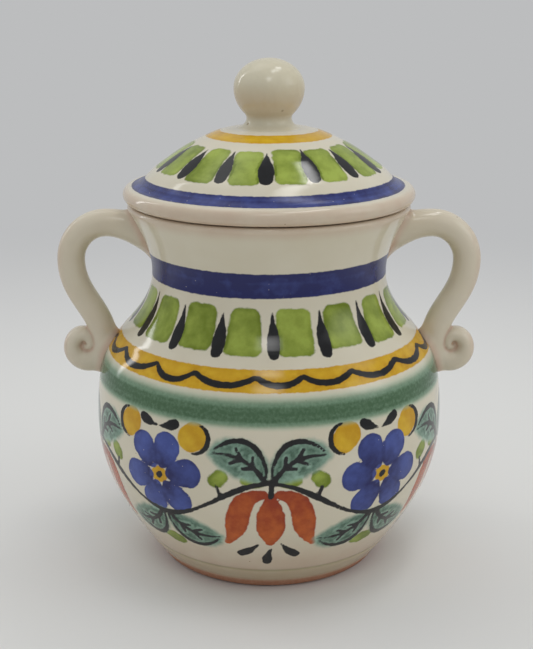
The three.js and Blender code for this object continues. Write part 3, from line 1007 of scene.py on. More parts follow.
@dataclass
class Garland:
    """Flower garland round the belly: rosettes and tulips on a waving stem, with leaves, fruit and dabs.

    Runs are millimetres along the outline, and aside is an angle from a flower in radians. Places in a
    motif are millimetres from its middle.
    """

    repeats: int = 5
    front: float = math.radians(36)
    stem_run: float = 38.0
    swing: float = 6.5
    stem_half: float = 0.7
    rosette_run: float = 43.0
    fruit_run: float = 55.6
    fruit_aside: float = 0.215
    bud_over_stem: float = 6.6
    bud_aside: float = 0.36
    dab_over_rosette: float = 14.6
    dab_aside: float = 0.062
    press_under_rosette: float = 22.0
    tulip_run: float = 34.5
    dabs_under_tulip: Point = (13.6, 16.2)
    tulip_dab_aside: float = 0.115
    petals: int = 6

    def paint(self, canvas: Canvas) -> None:
        """Paint the garland right round the pot.

        Args:
            canvas: the pot's painted face.
        """
        self._stem(canvas)
        near, jitter = canvas.near, canvas.jitter
        over, under = self.stem_run + self.swing + 1.0, self.stem_run - self.swing - 0.5
        over_rosette, press_run = self.rosette_run + self.dab_over_rosette, self.rosette_run - self.press_under_rosette
        beside, below = (self.tulip_run - down for down in self.dabs_under_tulip)
        for number in range(self.repeats):
            rosette = self.front + TURN * number / self.repeats
            tulip = rosette + TURN / self.repeats / 2
            self._leaves(near(tulip, over, 24), tip=(16.0, 6.2))
            self._leaves(near(rosette, under, 24, math.pi), tip=(15.5, 6.0))
            self._rosette(near(rosette + jitter(0.02), self.rosette_run + jitter(0.5), 18, jitter(0.2)))
            self._tulip(near(tulip + jitter(0.02), self.tulip_run + jitter(0.5), 20, math.pi + jitter(0.1)))
            for side in (-1, 1):
                self._fruit(near(rosette + side * self.fruit_aside, self.fruit_run, 12, jitter(0.2)), side)
                self._bud(near(rosette + side * self.bud_aside, self.stem_run + self.bud_over_stem, 12), side)
                dab = near(rosette + side * self.dab_aside, over_rosette, 10, side * 0.45 + jitter(0.12))
                self._dab(dab, side * 5.2)
                dab = near(tulip + side * self.tulip_dab_aside, beside, 10, -side * 0.75 + jitter(0.12))
                self._dab(dab, side * 6.5)
            self._dab(near(tulip + jitter(0.01), below, 10, -QUARTER + jitter(0.12)), 6.5)
            press = near(rosette + jitter(0.02), press_run, 10, jitter(0.3))
            press.stroke(Pigment.LIME, [(-2.2, 0.3), (2.0, -0.2)], (1.5, 2.3, 1.9), (0.5, 0.9))

    def _stem(self, canvas: Canvas) -> None:
        """Paint the waving stem.

        Args:
            canvas: the pot's painted face.
        """
        phase = self.repeats * (canvas.turn - self.front)
        line = self.stem_run - self.swing * np.cos(phase) + canvas.ripple(0.5)
        slope = self.swing * np.abs(np.sin(phase)) * self.repeats / np.maximum(canvas.radius, 1)
        wide = self.stem_half * (1 + 0.25 * np.sin(3 * phase + 1))
        distance = np.abs(canvas.run - line) / np.sqrt(1 + slope ** 2) - wide
        canvas.lay(Pigment.INK, canvas.every, distance[canvas.every], 0.8)

    def _rosette(self, patch: Patch) -> None:
        """Paint a blue flower of single brush presses with a yellow eye.

        Args:
            patch: the face round its middle.
        """
        jitter = patch.canvas.jitter
        for petal in range(self.petals):
            angle = TURN * petal / self.petals + jitter(0.06)
            ends = (3.6, 8.7 * (1 + jitter(0.05)))
            path = [(out * math.cos(angle), out * math.sin(angle)) for out in ends]
            patch.stroke(Pigment.BLUE, path, (1.5, 3.4, 4.25), (1.0, 0.5 + jitter(0.2)))
        patch.stroke(Pigment.YELLOW, [(-0.4, 0), (0.4, 0)], (2.4, 2.4), (0.4, 0.7))
        patch.stroke(Pigment.INK, [(-0.3, -0.2), (0.4, 0.2)], (0.9, 0.8), (0.8, 0.8))

    def _tulip(self, patch: Patch) -> None:
        """Paint an orange tulip of striped brush presses, hanging from the stem.

        Args:
            patch: the face round its middle, upside down.
        """
        patch.stroke(Pigment.ORANGE, [(0, -6.0), (0, 10.0)], (1.4, 3.8, 3.9, 1.3), (0.9, 0.3))
        for side in (-1, 1):
            petal = [(side * 2.2, -7.0), (side * 11.5, -6.0), (side * 7.0, 4), (side * 11.5, 10.5)]
            patch.stroke(Pigment.ORANGE, petal, (1.4, 3.1, 3.3, 1.0), (0.9, 0.25))
            patch.stroke(Pigment.LIME, [(side * 2.2, -10.3), (side * 7.0, -11.0)], (0.8, 1.9, 1.3), (0.7, 0.4))
        patch.stroke(Pigment.INK, [(0, -11), (0, -6.5)], (0.7, 0.8), (0.8, 0.9))

    def _leaves(self, patch: Patch, tip: Point) -> None:
        """Paint a pair of soft green leaves, each with a black midrib, veins and one inked edge.

        Args:
            patch: the face round the pair's root, upside down where the pair hangs.
            tip: how far out and up the leaves end.
        """
        jitter = patch.canvas.jitter
        for side in (-1, 1):
            end = (side * (tip[0] + jitter(0.5)), tip[1] + jitter(0.5))
            spine = [(side * 1.2, -0.5), (side * 6.0, 8.0), end]
            patch.stroke(Pigment.LEAF, spine, (0.9, 4.2, 5.5, 4.6, 1.1), (1.0, 0.65))
            patch.stroke(Pigment.INK, spine, (0.75, 0.6, 0.55, 0.2), (0.9, 0.5))
            line = bezier(spine, 8)
            for root, reach in ((2, 3.2), (4, 3.4)):
                ahead = line[root + 1] - line[root]
                ahead /= np.hypot(*ahead)
                for way in (-1, 1):
                    vein = line[root] + reach * (0.75 * ahead + 0.66 * way * np.array([-ahead[1], ahead[0]]))
                    patch.stroke(Pigment.INK, [tuple(line[root]), tuple(vein)], (0.55, 0.45), (0.5, 0.3))
            edge = [(side * 0.5, 0.5), (side * 1.5, 12.0), (side * 9.0, 12.8), (end[0] - side, end[1] + 1.2)]
            patch.stroke(Pigment.INK, edge, (0.3, 0.8, 0.75, 0.3), (0.8, 0.6))

    def _fruit(self, patch: Patch, side: int) -> None:
        """Paint a yellow fruit with a black curve round one side.

        Args:
            patch: the face round its middle.
            side: 1 where the curve is on the right.
        """
        patch.stroke(Pigment.YELLOW, [(-0.6, -0.5), (0.5, 0.6)], (3.7, 3.9), (0.3, 0.8))
        curve = [(side * 1.0, 4.1), (side * 6.0, 3.4), (side * 5.6, -3.6), (side * 0.6, -4.3)]
        patch.stroke(Pigment.INK, curve, (0.3, 0.75, 0.7, 0.3), (0.8, 0.7))

    def _bud(self, patch: Patch, side: int) -> None:
        """Paint a lime bud on a short stalk from the stem, leaning right where side is 1."""
        patch.stroke(Pigment.LIME, [(-side * 0.8, 0), (side * 0.6, 1.2)], (2.2, 2.0), (0.8, 0.4))
        patch.stroke(Pigment.INK, [(side * 0.6, -5.2), (-side * 0.6, -1.6)], (0.6, 0.5), (0.8, 0.6))

    def _dab(self, patch: Patch, length: float) -> None:
        """Paint a black dab that swells towards its end, to the left where length is less than zero."""
        path = [(-length / 2, 0.5), (0, -0.3), (length / 2, 0)]
        patch.stroke(Pigment.INK, path, (0.3, 0.6, 1.1, 1.5, 1.3), (0.6, 0.9))


@dataclass
class Turned:
    """Piece that is thrown on the wheel: an outline turned round the Z axis, then dressed and seated."""

    wheel: SweepTool
    glaze: bpy.types.Material
    columns: ClassVar[int]
    wobble: ClassVar[float]
    seed: ClassVar[int]
    names: ClassVar[tuple[str, str, str, str]]

    def outline(self) -> tuple[np.ndarray, np.ndarray]:
        """Give the closed outline as radius and height, and the run along its painted face."""
        raise NotImplementedError

    def dress(self, mesh: bpy.types.Mesh) -> None:
        """Mark the paint, thin glaze, painted shade and bare clay on the thrown mesh."""
        raise NotImplementedError

    def build(self) -> bpy.types.Object:
        """Throw, dress and seat the piece.

        Returns:
            The finished piece.
        """
        name, body, slot, node = self.names
        outline, run = self.outline()
        piece = self.wheel.make(name, {"place": np.insert(outline, 1, 0, axis=1) * MM, "run": run}, {
            "Points Round": self.columns + 1, "Wobble": self.wobble * MM, "Seed": self.seed, "Material": self.glaze,
        })
        self.dress(piece.data)
        seat_piece(piece, body, node)
        return piece


@dataclass
class Pot(Turned):
    """Thrown jar with its painting."""

    columns = 440
    wobble = 0.25
    seed = 3
    names = ("jar", "pot", "pot_glaze", "pot_body")
    wall: Wall = field(default_factory=Wall)
    garland: Garland = field(default_factory=Garland)
    border: Border = Border(
        17, math.radians(1.0), narrow=92.0, wide=79.2, width=9.9, drop=1.8, fat_end=0.93, load=0.5,
    )
    # Rows are closest at the foot's line, close on the garland, and as far apart as the bands allow elsewhere.
    coarse: float = 0.9
    fine: float = 0.6
    finest: float = 0.3
    garland_runs: Point = (17.0, 60.0)
    upper_rows: int = 72
    # Runs over which the glaze gets thin towards the foot and the rim, with the warm tint low on the belly also
    # painted shade, and the foot is wiped to the bare clay.
    foot_thin_and_shade: Point = (32.0, 0.0)
    rim_thin: Point = (111.3, 114.8)
    wiped: Point = (5.0, 3.2)
    # How far from the foot's line the glaze pools, olive with painted shade in the line, and how much of that olive
    # painted shade stays on the band below it.
    pool_reach: float = 0.55
    painted_shade_below: float = 0.45

    def outline(self) -> tuple[np.ndarray, np.ndarray]:
        """Lay out the closed outline, and the run along its outer face.

        Returns:
            Radius and height of each station, and its run.
        """
        wall = self.wall
        ring = wall.foot_radius - wall.foot_ring
        base = even([(0, wall.foot_recess), (ring - wall.foot_recess, wall.foot_recess), (ring, 0.0),
                     (wall.foot_radius - wall.foot_round, 0.0)], 2.5)
        face = even(wall.outer(), 0.1)
        length, line, (low, high) = run_of(face), wall.line_run(), self.garland_runs
        run = np.concatenate([
            np.arange(0, line - 1.4, self.coarse), np.arange(line - 1.2, line + 1.3, self.finest),
            np.arange(line + 1.8, low, self.coarse), np.arange(low, high, self.fine),
            np.linspace(high, length[-1], self.upper_rows),
        ])
        run = run[run > wall.foot_round]
        outer = np.stack([np.interp(run, length, face[:, k]) for k in (0, 1)], 1)
        outer[:, 0] -= wall.line_depth * np.exp(-((outer[:, 1] - wall.line_height) / (wall.line_width / 2)) ** 2)
        inner = wall.inner()
        mouth = wall.height - wall.rim_round
        lip = np.interp(mouth, inner[:, 1], inner[:, 0])
        rim_out = arc((wall.rim_radius - wall.rim_round, mouth), wall.rim_round, 0.2, QUARTER)
        rim_in = arc((lip + wall.rim_round, mouth), wall.rim_round, QUARTER, math.pi)
        bottom = wall.floor + wall.thickness
        corner = np.interp(bottom, inner[:, 1], inner[:, 0]) - wall.thickness
        hollow = np.concatenate([
            rim_in, even(inner[(inner[:, 1] > bottom) & (inner[:, 1] < mouth - 1)][::-1], 4.5),
            arc((corner, bottom), wall.thickness, 0, -QUARTER),
            even([(corner - 1, wall.floor), (0, wall.floor)], 8.0),
        ])
        runs = np.concatenate([np.full(len(base), UNDER_FOOT), run, run[-1] + run_of(rim_out) + 0.5,
                               np.full(len(hollow), INSIDE)])
        return np.concatenate([base, outer, rim_out, hollow]), runs

    def dress(self, mesh: bpy.types.Mesh) -> None:
        """Paint the bands, borders and garland, and mark thin and thick glaze, painted shade on the lower belly and at
        the foot's line, and bare clay.

        Args:
            mesh: the thrown jar.
        """
        canvas = Canvas(mesh, seed=11)
        canvas.band(Pigment.BLUE, low=94.5, high=101.5, load=1.0, tilt=0.15)
        canvas.blocks_and_drops(self.border)
        canvas.band(Pigment.YELLOW, low=68.7, high=75.0, load=0.55)
        canvas.wave_line(19, math.radians(-6.0), crest=73.0, trough=69.8, half=0.85)
        canvas.band(Pigment.MOSS, low=59.5, high=67.2, load=0.95, crisp=1.5)
        self.garland.paint(canvas)
        canvas.store()
        run = canvas.run
        # Warm tint towards the foot: thin glaze near it, and painted shade on the lower belly, which turns down away
        # from the light.
        foot = smoothstep(*self.foot_thin_and_shade, run + canvas.ripple(0.8)) * (run > OFF_FACE)
        rim = smoothstep(*self.rim_thin, run) * (run > 0)
        set_floats(mesh, "thin", np.clip(0.85 * foot + 0.5 * rim, 0, 1))
        # Olive in the turned line is glaze that pools there together with painted shade of the groove; the band below
        # it, which faces down, gets painted shade in the same olive.
        past_line = run - self.wall.line_run()
        below = self.painted_shade_below * smoothstep(0.5, -0.5, past_line)
        pooled_and_shaded = np.maximum(np.exp(-(past_line / self.pool_reach) ** 2), below)
        set_floats(mesh, "pooled_and_shaded", pooled_and_shaded * (run > OFF_FACE))
        clay = smoothstep(*self.wiped, run + canvas.ripple(0.35)) * (run > (INSIDE + UNDER_FOOT) / 2)
        set_floats(mesh, "bare", np.clip(clay, 0, 1))


@dataclass
class Lid(Turned):
    """Thrown lid with a rolled rim, its locating flange and its painting."""

    columns = 400
    wobble = 0.12
    seed = 8
    names = ("lid", "lid", "lid_glaze", "lid_dome")
    wall: Wall = field(default_factory=Wall)
    border: Border = Border(
        15, math.radians(-1.0), narrow=12.1, wide=25.6, width=8.5, drop=2.1, fat_end=0.72, load=0.35,
    )
    gap: float = 0.3
    overhang: float = 1.1
    roll: float = 2.3
    waist_radius: float = 32.0
    waist_rise: float = 9.7
    shoulder_radius: float = 21.6
    shoulder_rise: float = 16.5
    crown_rise: float = 20.45
    crown_radius: float = 9.6
    thickness: float = 4.0
    skin_way: Point = (0.35, 0.94)
    flange_depth: float = 7.0
    flange_wall: float = 3.4
    flange_clearance: float = 0.8
    edge_round: float = 1.0
    fine: float = 0.5
    coarse: float = 2.0
    # Run over which the glaze gets thin on the rolled rim, and how far from the seat its bare clay reaches.
    rim_thin: Point = (34.0, 36.6)
    bare_reach: float = 0.5

    @property
    def seat(self) -> float:
        """Height of the plane that the lid rests on."""
        return self.wall.height + self.gap

    @property
    def crown(self) -> float:
        """Height of the flat crown under the knob."""
        return self.seat + self.crown_rise

    def outline(self) -> tuple[np.ndarray, np.ndarray]:
        """Lay out the closed outline, and the run along its upper face.

        Returns:
            Radius and height of each station, and its run from the crown's edge.
        """
        seat, soft, coarse = self.seat, self.edge_round, self.coarse
        hub = np.array([self.wall.rim_radius + self.overhang - self.roll, seat + self.roll])
        edge = np.array([self.crown_radius, self.crown])
        shoulder = np.array([self.shoulder_radius, seat + self.shoulder_rise])
        waist = np.array([self.waist_radius, seat + self.waist_rise])
        roll_top = hub + np.array([0, self.roll])
        level, down, out = np.array([1.0, 0.0]), waist - edge, roll_top - shoulder
        dome = np.concatenate([eased(edge, level, shoulder, down), eased(shoulder, down, waist, out)[1:],
                               eased(waist, out, roll_top, level)[1:]])
        top = even(np.concatenate([dome, arc(tuple(hub), self.roll, QUARTER, -QUARTER, 24)[1:]]), self.fine)
        inner = self.wall.inner()
        low = seat - self.flange_depth
        flange = np.interp(low, inner[:, 1], inner[:, 0]) - self.flange_clearance
        bore = flange - self.flange_wall
        skin = dome - self.thickness * np.array(self.skin_way)
        skin = skin[(skin[:, 0] < bore - soft) & (skin[:, 1] < self.crown - self.thickness)]
        turn_down = (bore - soft, np.interp(bore - soft, skin[:, 0], skin[:, 1]) - soft)
        under = np.concatenate([
            [(0, self.crown - self.thickness)], even(skin, coarse), arc(turn_down, soft, QUARTER, 0),
            even([(bore, skin[-1, 1] - 3 * soft), (bore, low + soft)], coarse),
            arc((bore + soft, low + soft), soft, math.pi, 1.5 * math.pi),
            arc((flange - soft, low + soft), soft, -QUARTER, 0),
            even([(flange, low + 2 * soft), (flange, seat)], coarse),
            even([(flange + soft, seat), (hub[0] - soft / 2, seat)], coarse),
        ])
        flat = even([(self.crown_radius - soft, self.crown), (0, self.crown)], coarse)
        run = np.concatenate([np.full(len(under), INSIDE), run_of(top)[::-1], np.full(len(flat), OFF_FACE / 2)])
        return np.concatenate([under, top[::-1], flat]), run

    def dress(self, mesh: bpy.types.Mesh) -> None:
        """Paint the bands and the border, and mark thin glaze and the bare seat.

        Args:
            mesh: the thrown lid.
        """
        canvas = Canvas(mesh, seed=23)
        canvas.band(Pigment.YELLOW, low=4.3, high=8.6, load=0.5)
        canvas.blocks_and_drops(self.border)
        canvas.band(Pigment.BLUE, low=29.2, high=33.7, load=0.75, tilt=-0.1)
        canvas.store()
        set_floats(mesh, "thin", 0.55 * smoothstep(*self.rim_thin, canvas.run) * (canvas.run > 0))
        off_seat = np.abs(points_of(mesh)[:, 2] - self.seat)
        set_floats(mesh, "bare", smoothstep(self.bare_reach, 0, off_seat) * (canvas.run < OFF_FACE))


@dataclass(kw_only=True)
class Knob(Turned):
    """Ball knob on a waisted stem, luted to the crown of the lid."""

    columns = 160
    wobble = 0.1
    seed = 5
    names = ("knob", "lid", "knob_glaze", "lid_knob")
    crown: float
    gap: float = 0.3
    sunk: float = 0.15
    base_radius: float = 9.3
    base_spread: float = 0.9
    stem_radius: float = 7.0
    stem_waist: float = 0.7
    stem_ease: float = 1.7
    ball_radius: float = 10.0
    ball_top: float = 8.2
    ball_low: float = 9.8
    ball_rise: float = 10.65
    fine: float = 0.45
    # Heights over the crown at which the painted shade under the ball, a tan, sets in and ends.
    painted_shade_from: Point = (1.5, 4.0)
    painted_shade_to: Point = (15.0, 6.0)

    def outline(self) -> tuple[np.ndarray, np.ndarray]:
        """Lay out the stem and the ball, which is rounder below than above.

        Returns:
            Radius and height of each station, and a run of 0, because nothing is painted.
        """
        base, sole = self.crown + self.gap, self.crown - self.sunk
        centre = base + self.ball_rise
        under = math.asin(self.stem_radius / self.ball_radius)
        join = np.array([self.stem_radius, centre - self.ball_low * math.cos(under)])
        inward = np.array([self.ball_radius * math.cos(under), self.ball_low * math.sin(under)])
        inward *= self.stem_ease / np.hypot(*inward)
        stem = bezier([(self.base_radius + self.base_spread, sole), (self.stem_radius - self.stem_waist, base),
                       tuple(join - inward), tuple(join)])
        turn = np.linspace(under - QUARTER, QUARTER, 60)[1:]
        half = np.where(turn < 0, self.ball_low, self.ball_top)
        ball = np.stack([self.ball_radius * np.cos(turn), centre + half * np.sin(turn)], 1)
        ball[-1, 0] = 0
        outline = np.concatenate([[(0, sole)], even(np.concatenate([stem, ball]), self.fine)])
        return outline, np.zeros(len(outline))

    def dress(self, mesh: bpy.types.Mesh) -> None:
        """Mark the thin glaze, with a tan of painted shade under the ball.

        Args:
            mesh: the turned knob.
        """
        # Painted shade: a tan that grows down the lower ball, where it turns away from the light, and fades out at the
        # foot of the stem.
        rise = points_of(mesh)[:, 2] - self.crown - self.gap
        tan = smoothstep(*self.painted_shade_to, rise) * smoothstep(*self.painted_shade_from, rise)
        set_floats(mesh, "thin", 0.05 + 0.5 * tan)
        set_floats(mesh, "bare", np.zeros(len(rise)))


@dataclass
class Handle:
    """Rolled coil that is luted to the neck, bows out to the shoulder and ends in a scroll.

    The scroll winds in by quarter turns: winding is its radius at each, and curl_half and curl_across are
    the coil's half thicknesses there.
    """

    roller: SweepTool
    glaze: bpy.types.Material
    side: Side
    wall: Wall = field(default_factory=Wall)
    coil: float = 4.0
    columns: int = 48
    root_drop: float = 2.0
    root_flare: float = 1.6
    root_embed: float = 7.0
    crest_below_rim: float = 6.4
    crest_out: float = 10.2
    reach_drop: float = 11.0
    reach_out: float = 20.6
    round_share: float = 0.5523
    fall_shares: Point = (0.44, 0.42)
    scroll_below_shoulder: float = 7.5
    scroll_out: float = 4.5
    eye_shift: Point = (1.4, 1.8)
    winding: tuple[float, ...] = (5.7, 5.0, 3.4, 3.1, 1.3, -0.8)
    curl_half: tuple[float, ...] = (3.9, 3.5, 2.7, 2.2, 1.9, 1.7)
    curl_across: tuple[float, ...] = (3.9, 3.8, 3.6, 3.3, 2.9, 2.2)
    curl_steps: int = 90
    curl_blur: int = 9
    fillet: float = 1.3
    fillet_reach: float = 2.6
    sunk: float = 1.6
    voxel: float = 0.35
    # How thin the glaze is on worn edges, along the joint and everywhere, and how much painted shade the grooves get
    # in the same warm tint.
    edge_thin: float = 0.35
    joint_thin: float = 0.7
    groove_shade: float = 0.8
    all_thin: float = 0.16

    def build(self) -> bpy.types.Object:
        """Roll, smooth, seat and dress the handle.

        Returns:
            The finished piece.
        """
        side = self.side.name.lower()
        piece = self.roller.make(f"handle_coil_{side}", self._stations(), {
            "Points Round": self.columns + 1, "Material": self.glaze,
        })
        remesh = piece.modifiers.new("clay", "REMESH")
        remesh.mode = "VOXEL"
        remesh.voxel_size = self.voxel * MM
        soften = piece.modifiers.new("sponge", "SMOOTH")
        soften.factor = 0.5
        soften.iterations = 4
        keep_result(piece)
        piece.data.materials.clear()
        piece.data.materials.append(self.glaze)
        piece.data.shade_smooth()
        self._lute(piece.data)
        seat_piece(piece, "pot", f"handle_{side}")
        return piece

    def _bow(self) -> tuple[list[np.ndarray], np.ndarray]:
        """Lay out the coil from its root on the neck down to the scroll.

        Returns:
            The root, the loop and the drop as radius and height, and the scroll's eye.
        """
        wall, face = self.wall, self.wall.outer()
        crest_height = wall.height - self.crest_below_rim
        root_height = crest_height - self.root_drop
        root_radius = np.interp(root_height, face[:, 1], face[:, 0])
        scroll_height = wall.shoulder_height - self.scroll_below_shoulder
        scroll_radius = np.interp(scroll_height, face[:, 1], face[:, 0]) + self.scroll_out
        eye = np.array([scroll_radius, scroll_height]) + np.array(self.eye_shift)
        crest = (root_radius + self.crest_out, crest_height)
        reach = (root_radius + self.reach_out, crest_height - self.reach_drop)
        landing = (eye[0] - self.winding[0], eye[1])
        fall = reach[1] - landing[1]
        root = bezier([(root_radius - self.root_embed, root_height - self.root_embed / 2), (root_radius, root_height),
                       (crest[0] - self.crest_out / 2, crest[1]), crest], 24)
        loop = bezier([crest, (crest[0] + (reach[0] - crest[0]) * self.round_share, crest[1]),
                       (reach[0], reach[1] + (crest[1] - reach[1]) * self.round_share), reach], 30)
        drop = bezier([reach, (reach[0], reach[1] - self.fall_shares[0] * fall),
                       (landing[0], landing[1] + self.fall_shares[1] * fall), landing], 44)
        return [root, loop, drop], eye

    def _stations(self) -> dict[str, np.ndarray]:
        """Lay out the coil's run with its thickness.

        Returns:
            In metres, each station's place, and its half thicknesses as directions.
        """
        (root, loop, drop), eye = self._bow()
        quarters = np.arange(len(self.winding))
        turned = np.linspace(0, quarters[-1], self.curl_steps)
        window = np.full(2 * self.curl_blur + 1, 1 / (2 * self.curl_blur + 1))
        wind = np.convolve(np.pad(np.interp(turned, quarters, self.winding), self.curl_blur, "edge"), window, "valid")
        turn = math.pi + turned * QUARTER
        curl = eye + wind[:, None] * np.stack([np.cos(turn), np.sin(turn)], 1)
        flat = np.concatenate([root, loop[1:], drop[1:], curl[1:]])
        flare = (self.root_flare - 1) * (1 - np.linspace(0, 1, len(root))) ** 2
        bow = np.full(len(loop) - 1, self.coil)
        taper = self.coil + (self.curl_half[0] - self.coil) * np.linspace(0, 1, len(drop))[1:]
        half, broad = (
            np.concatenate([self.coil * (1 + flare * share), bow, taper, np.interp(turned, quarters, end)[1:]])
            for share, end in ((1, self.curl_half), (0.5, self.curl_across))
        )
        run, tip = run_of(flat), self.curl_half[-1]
        cap = np.sqrt(np.clip(1 - (np.clip(tip - (run[-1] - run), 0, None) / tip) ** 2, 0, 1))
        cap[0] = 0
        along, none, sign = along_of(flat), np.zeros(len(flat)), self.side.value
        return {
            "place": np.stack([flat[:, 0] * sign, none, flat[:, 1]], 1) * MM,
            "rise": np.stack([-along[:, 1], none, along[:, 0] * sign], 1) * (half * cap * MM)[:, None],
            "breadth": np.stack([none, broad * cap * MM, none], 1),
        }

    def _lute(self, mesh: bpy.types.Mesh) -> None:
        """Press the coil onto the wall, smear its joint into a fillet, and mark thin glaze, with painted shade in the
        grooves.

        Args:
            mesh: the rolled coil.
        """
        points, normals = points_of(mesh), numbers_of(mesh.vertex_normals, "vector", 3)
        out = self.wall.outward(points)
        tangent = normals - out * np.sum(normals * out, 1)[:, None]
        near = np.clip(1 - np.maximum(self.wall.depth(points), 0) / self.fillet_reach, 0, 1)
        points += tangent * (self.fillet * near ** 2)[:, None]
        points += out * np.clip(-self.sunk - self.wall.depth(points), 0, None)[:, None]
        mesh.vertices.foreach_set("co", (points * MM).astype(np.float32).ravel())
        mesh.update()
        edge = smoothstep(0.35, 0.9, np.abs(normals[:, 0])) * smoothstep(50, 60, np.abs(points[:, 0]))
        joint = smoothstep(2.2, 0.2, self.wall.depth(points))
        # Grooves, such as the scroll's crease, get painted shade in the thin glaze's warm tint.
        thin = self.edge_thin * edge + self.joint_thin * joint + self.groove_shade * hollows_of(mesh) + self.all_thin
        set_floats(mesh, "thin", np.clip(thin, 0, 1))
        set_floats(mesh, "bare", np.zeros(len(points)))


@dataclass(frozen=True)
class Softbox:
    """One soft lamp: where it hangs, its size in metres, its power, and what it points at."""

    name: str
    place: Place
    size: Point
    watts: float
    aim: Place = (0.0, 0.0, 0.07)

    def hang(self) -> None:
        """Hang the lamp, brightest in the middle, so that its reflection in the glaze has no hard edge."""
        light = bpy.data.lights.new(self.name, "AREA")
        light.shape = "RECTANGLE"
        light.size, light.size_y = self.size
        light.energy = self.watts
        tree = bare_tree(light)
        place = add_node(tree, "ShaderNodeSeparateXYZ", {0: add_node(tree, "ShaderNodeTexCoord", out="UV")})
        # The mean of u(1-u)v(1-v) is 1/36, so this keeps the lamp's power.
        level = 36.0
        for here in place.node.outputs[:2]:
            rest = add_node(tree, "ShaderNodeMath", {0: 1.0, 1: here}, operation="SUBTRACT")
            for factor in (here, rest):
                level = add_node(tree, "ShaderNodeMath", {0: level, 1: factor}, operation="MULTIPLY")
        glow = add_node(tree, "ShaderNodeEmission", {"Strength": level})
        add_node(tree, "ShaderNodeOutputLight", {"Surface": glow})
        body = bpy.data.objects.new(self.name, light)
        body.location = self.place
        body.rotation_euler = (Vector(self.aim) - Vector(self.place)).to_track_quat("-Z", "Y").to_euler()
        bpy.context.scene.collection.objects.link(body)


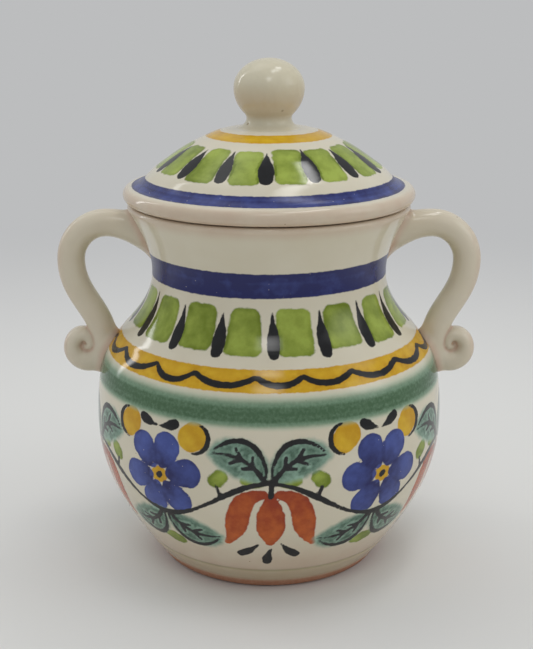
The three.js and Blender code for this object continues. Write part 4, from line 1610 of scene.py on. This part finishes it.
@dataclass
class Studio:
    """Pale table, soft light and the camera at the pot's front, in metres and degrees."""

    floor_colour: str = "#dcdad4"
    floor_reach: float = 6.0
    fade: Point = (0.1, 0.5)
    far_colour: str = "#bcbdbe"
    room_colour: str = "#f4f8ff"
    room_front: float = 0.556
    room_back: float = 0.916
    room_turn: Point = (-0.25, 0.2)
    camera_place: Place = (-0.00073, -0.34412, 0.16803)
    camera_pitch: float = 16.1727
    lens: float = 67.68
    lamps: tuple[Softbox, ...] = (
        Softbox("panel_right", (0.19, -0.09, 1.0), (0.5, 0.24), 1.0),
        Softbox("skylight_right", (0.29, 0.24, 1.0), (0.18, 0.18), 0.36),
        Softbox("panel_left", (-0.33, 0.27, 1.0), (0.8, 0.55), 0.5),
        Softbox("panel_front", (0.0, -0.62, 0.85), (0.35, 0.3), 0.6),
        Softbox("window_left", (-0.8, 0.46, 0.5), (0.1, 1.0), 0.75),
        Softbox("wall_right", (0.95, -0.25, 0.6), (0.7, 0.8), 1.2),
    )

    def build(self) -> None:
        """Set up the floor, the world, the lamps and the camera."""
        scene = bpy.context.scene
        scene.view_settings.view_transform = "Standard"
        self._floor()
        self._world()
        for lamp in self.lamps:
            lamp.hang()
        camera = bpy.data.cameras.new("camera")
        camera.lens = self.lens
        camera.sensor_width = 36
        camera.clip_start = 0.01
        view = bpy.data.objects.new("camera", camera)
        view.location = self.camera_place
        view.rotation_euler = (math.radians(90 - self.camera_pitch), 0, 0)
        scene.collection.objects.link(view)
        scene.camera = view

    def _floor(self) -> None:
        """Lay the pale table that the pot stands on."""
        mesh = bpy.data.meshes.new("table")
        corners = [(x * self.floor_reach, y * self.floor_reach, 0) for x, y in ((-1, -1), (1, -1), (1, 1), (-1, 1))]
        mesh.from_pydata(corners, [], [(0, 1, 2, 3)])
        table = bpy.data.objects.new("table", mesh)
        # Matt paper gives the eye an even pale ground with the pot's soft shadow, which fades into the background.
        material = bpy.data.materials.new("matt_paper_sweep")
        tree = bare_tree(material)
        place = add_node(tree, "ShaderNodeTexCoord", out="Object")
        far = add_node(tree, "ShaderNodeVectorMath", {0: place}, operation="LENGTH", out="Value")
        share = add_node(tree, "ShaderNodeMapRange", {
            0: far, 1: self.fade[0], 2: self.fade[1],
        }, interpolation_type="SMOOTHSTEP")
        share = add_node(tree, "ShaderNodeMath", {0: share, 1: seen_rays(tree)}, operation="MULTIPLY")
        matt = add_node(tree, "ShaderNodeBsdfDiffuse", {"Color": linear(self.floor_colour)})
        glow = add_node(tree, "ShaderNodeEmission", {"Color": linear(self.far_colour), "Strength": 1.0})
        both = add_node(tree, "ShaderNodeMixShader", {0: share, 1: matt, 2: glow})
        add_node(tree, "ShaderNodeOutputMaterial", {"Surface": both})
        mesh.materials.append(material)
        bpy.context.scene.collection.objects.link(table)

    def _world(self) -> None:
        """Give a soft room, brighter behind the pot, that shows as plain grey behind the table."""
        world = bpy.data.worlds.new("grey_room")
        bpy.context.scene.world = world
        tree = bare_tree(world)
        way = add_node(tree, "ShaderNodeSeparateXYZ", {0: add_node(tree, "ShaderNodeTexCoord", out="Generated")})
        level = add_node(tree, "ShaderNodeMapRange", {
            0: way.node.outputs[1], 1: self.room_turn[0], 2: self.room_turn[1], 3: self.room_front, 4: self.room_back,
        }, interpolation_type="SMOOTHSTEP")
        room = add_node(tree, "ShaderNodeBackground", {"Color": linear(self.room_colour), "Strength": level})
        seen = add_node(tree, "ShaderNodeBackground", {"Color": linear(self.far_colour), "Strength": 1.0})
        both = add_node(tree, "ShaderNodeMixShader", {0: seen_rays(tree), 1: room, 2: seen})
        add_node(tree, "ShaderNodeOutputWorld", {"Surface": both})


def main() -> None:
    """Build the studio and the pot's pieces in order."""
    logging.basicConfig(level=logging.INFO, format="%(name)s: %(message)s")
    Studio().build()
    wheel, roller = throwing_wheel(), coil_roller()
    # Opaque tin glaze gives the eye a glossy cream that is cloudy and faintly rippled, warm where it runs thin
    # over edges and joints, with the odd iron speck, and painted in watery oxides on the jar and lid. The same
    # warm tint is painted shade on the lower belly, in the handles' grooves and under the knob's ball.
    painted = TinGlaze("painted_tin_glaze", painted=True).build()
    plain = TinGlaze("cream_tin_glaze", painted=False).build()
    # The knob is glazed last and held most: its glaze is yellower, duller, wavier and more specked, and its tan is
    # painted shade under the ball.
    handled = TinGlaze("worn_and_shaded_cream_tin_glaze", painted=False, cream="#d7d0b8", cream_warm="#cbc2a6", thin="#b99872",
                       speck="#a3937a", gloss=0.1, ripple=0.12, ripple_size=2.6, specks=0.5, speck_radius=0.6).build()
    lid = Lid(wheel, painted)
    handles = [Handle(roller, plain, side) for side in Side]
    for piece in (Pot(wheel, painted), *handles, lid, Knob(wheel, handled, crown=lid.crown)):
        piece.build()


if __name__ == "__main__":
    main()
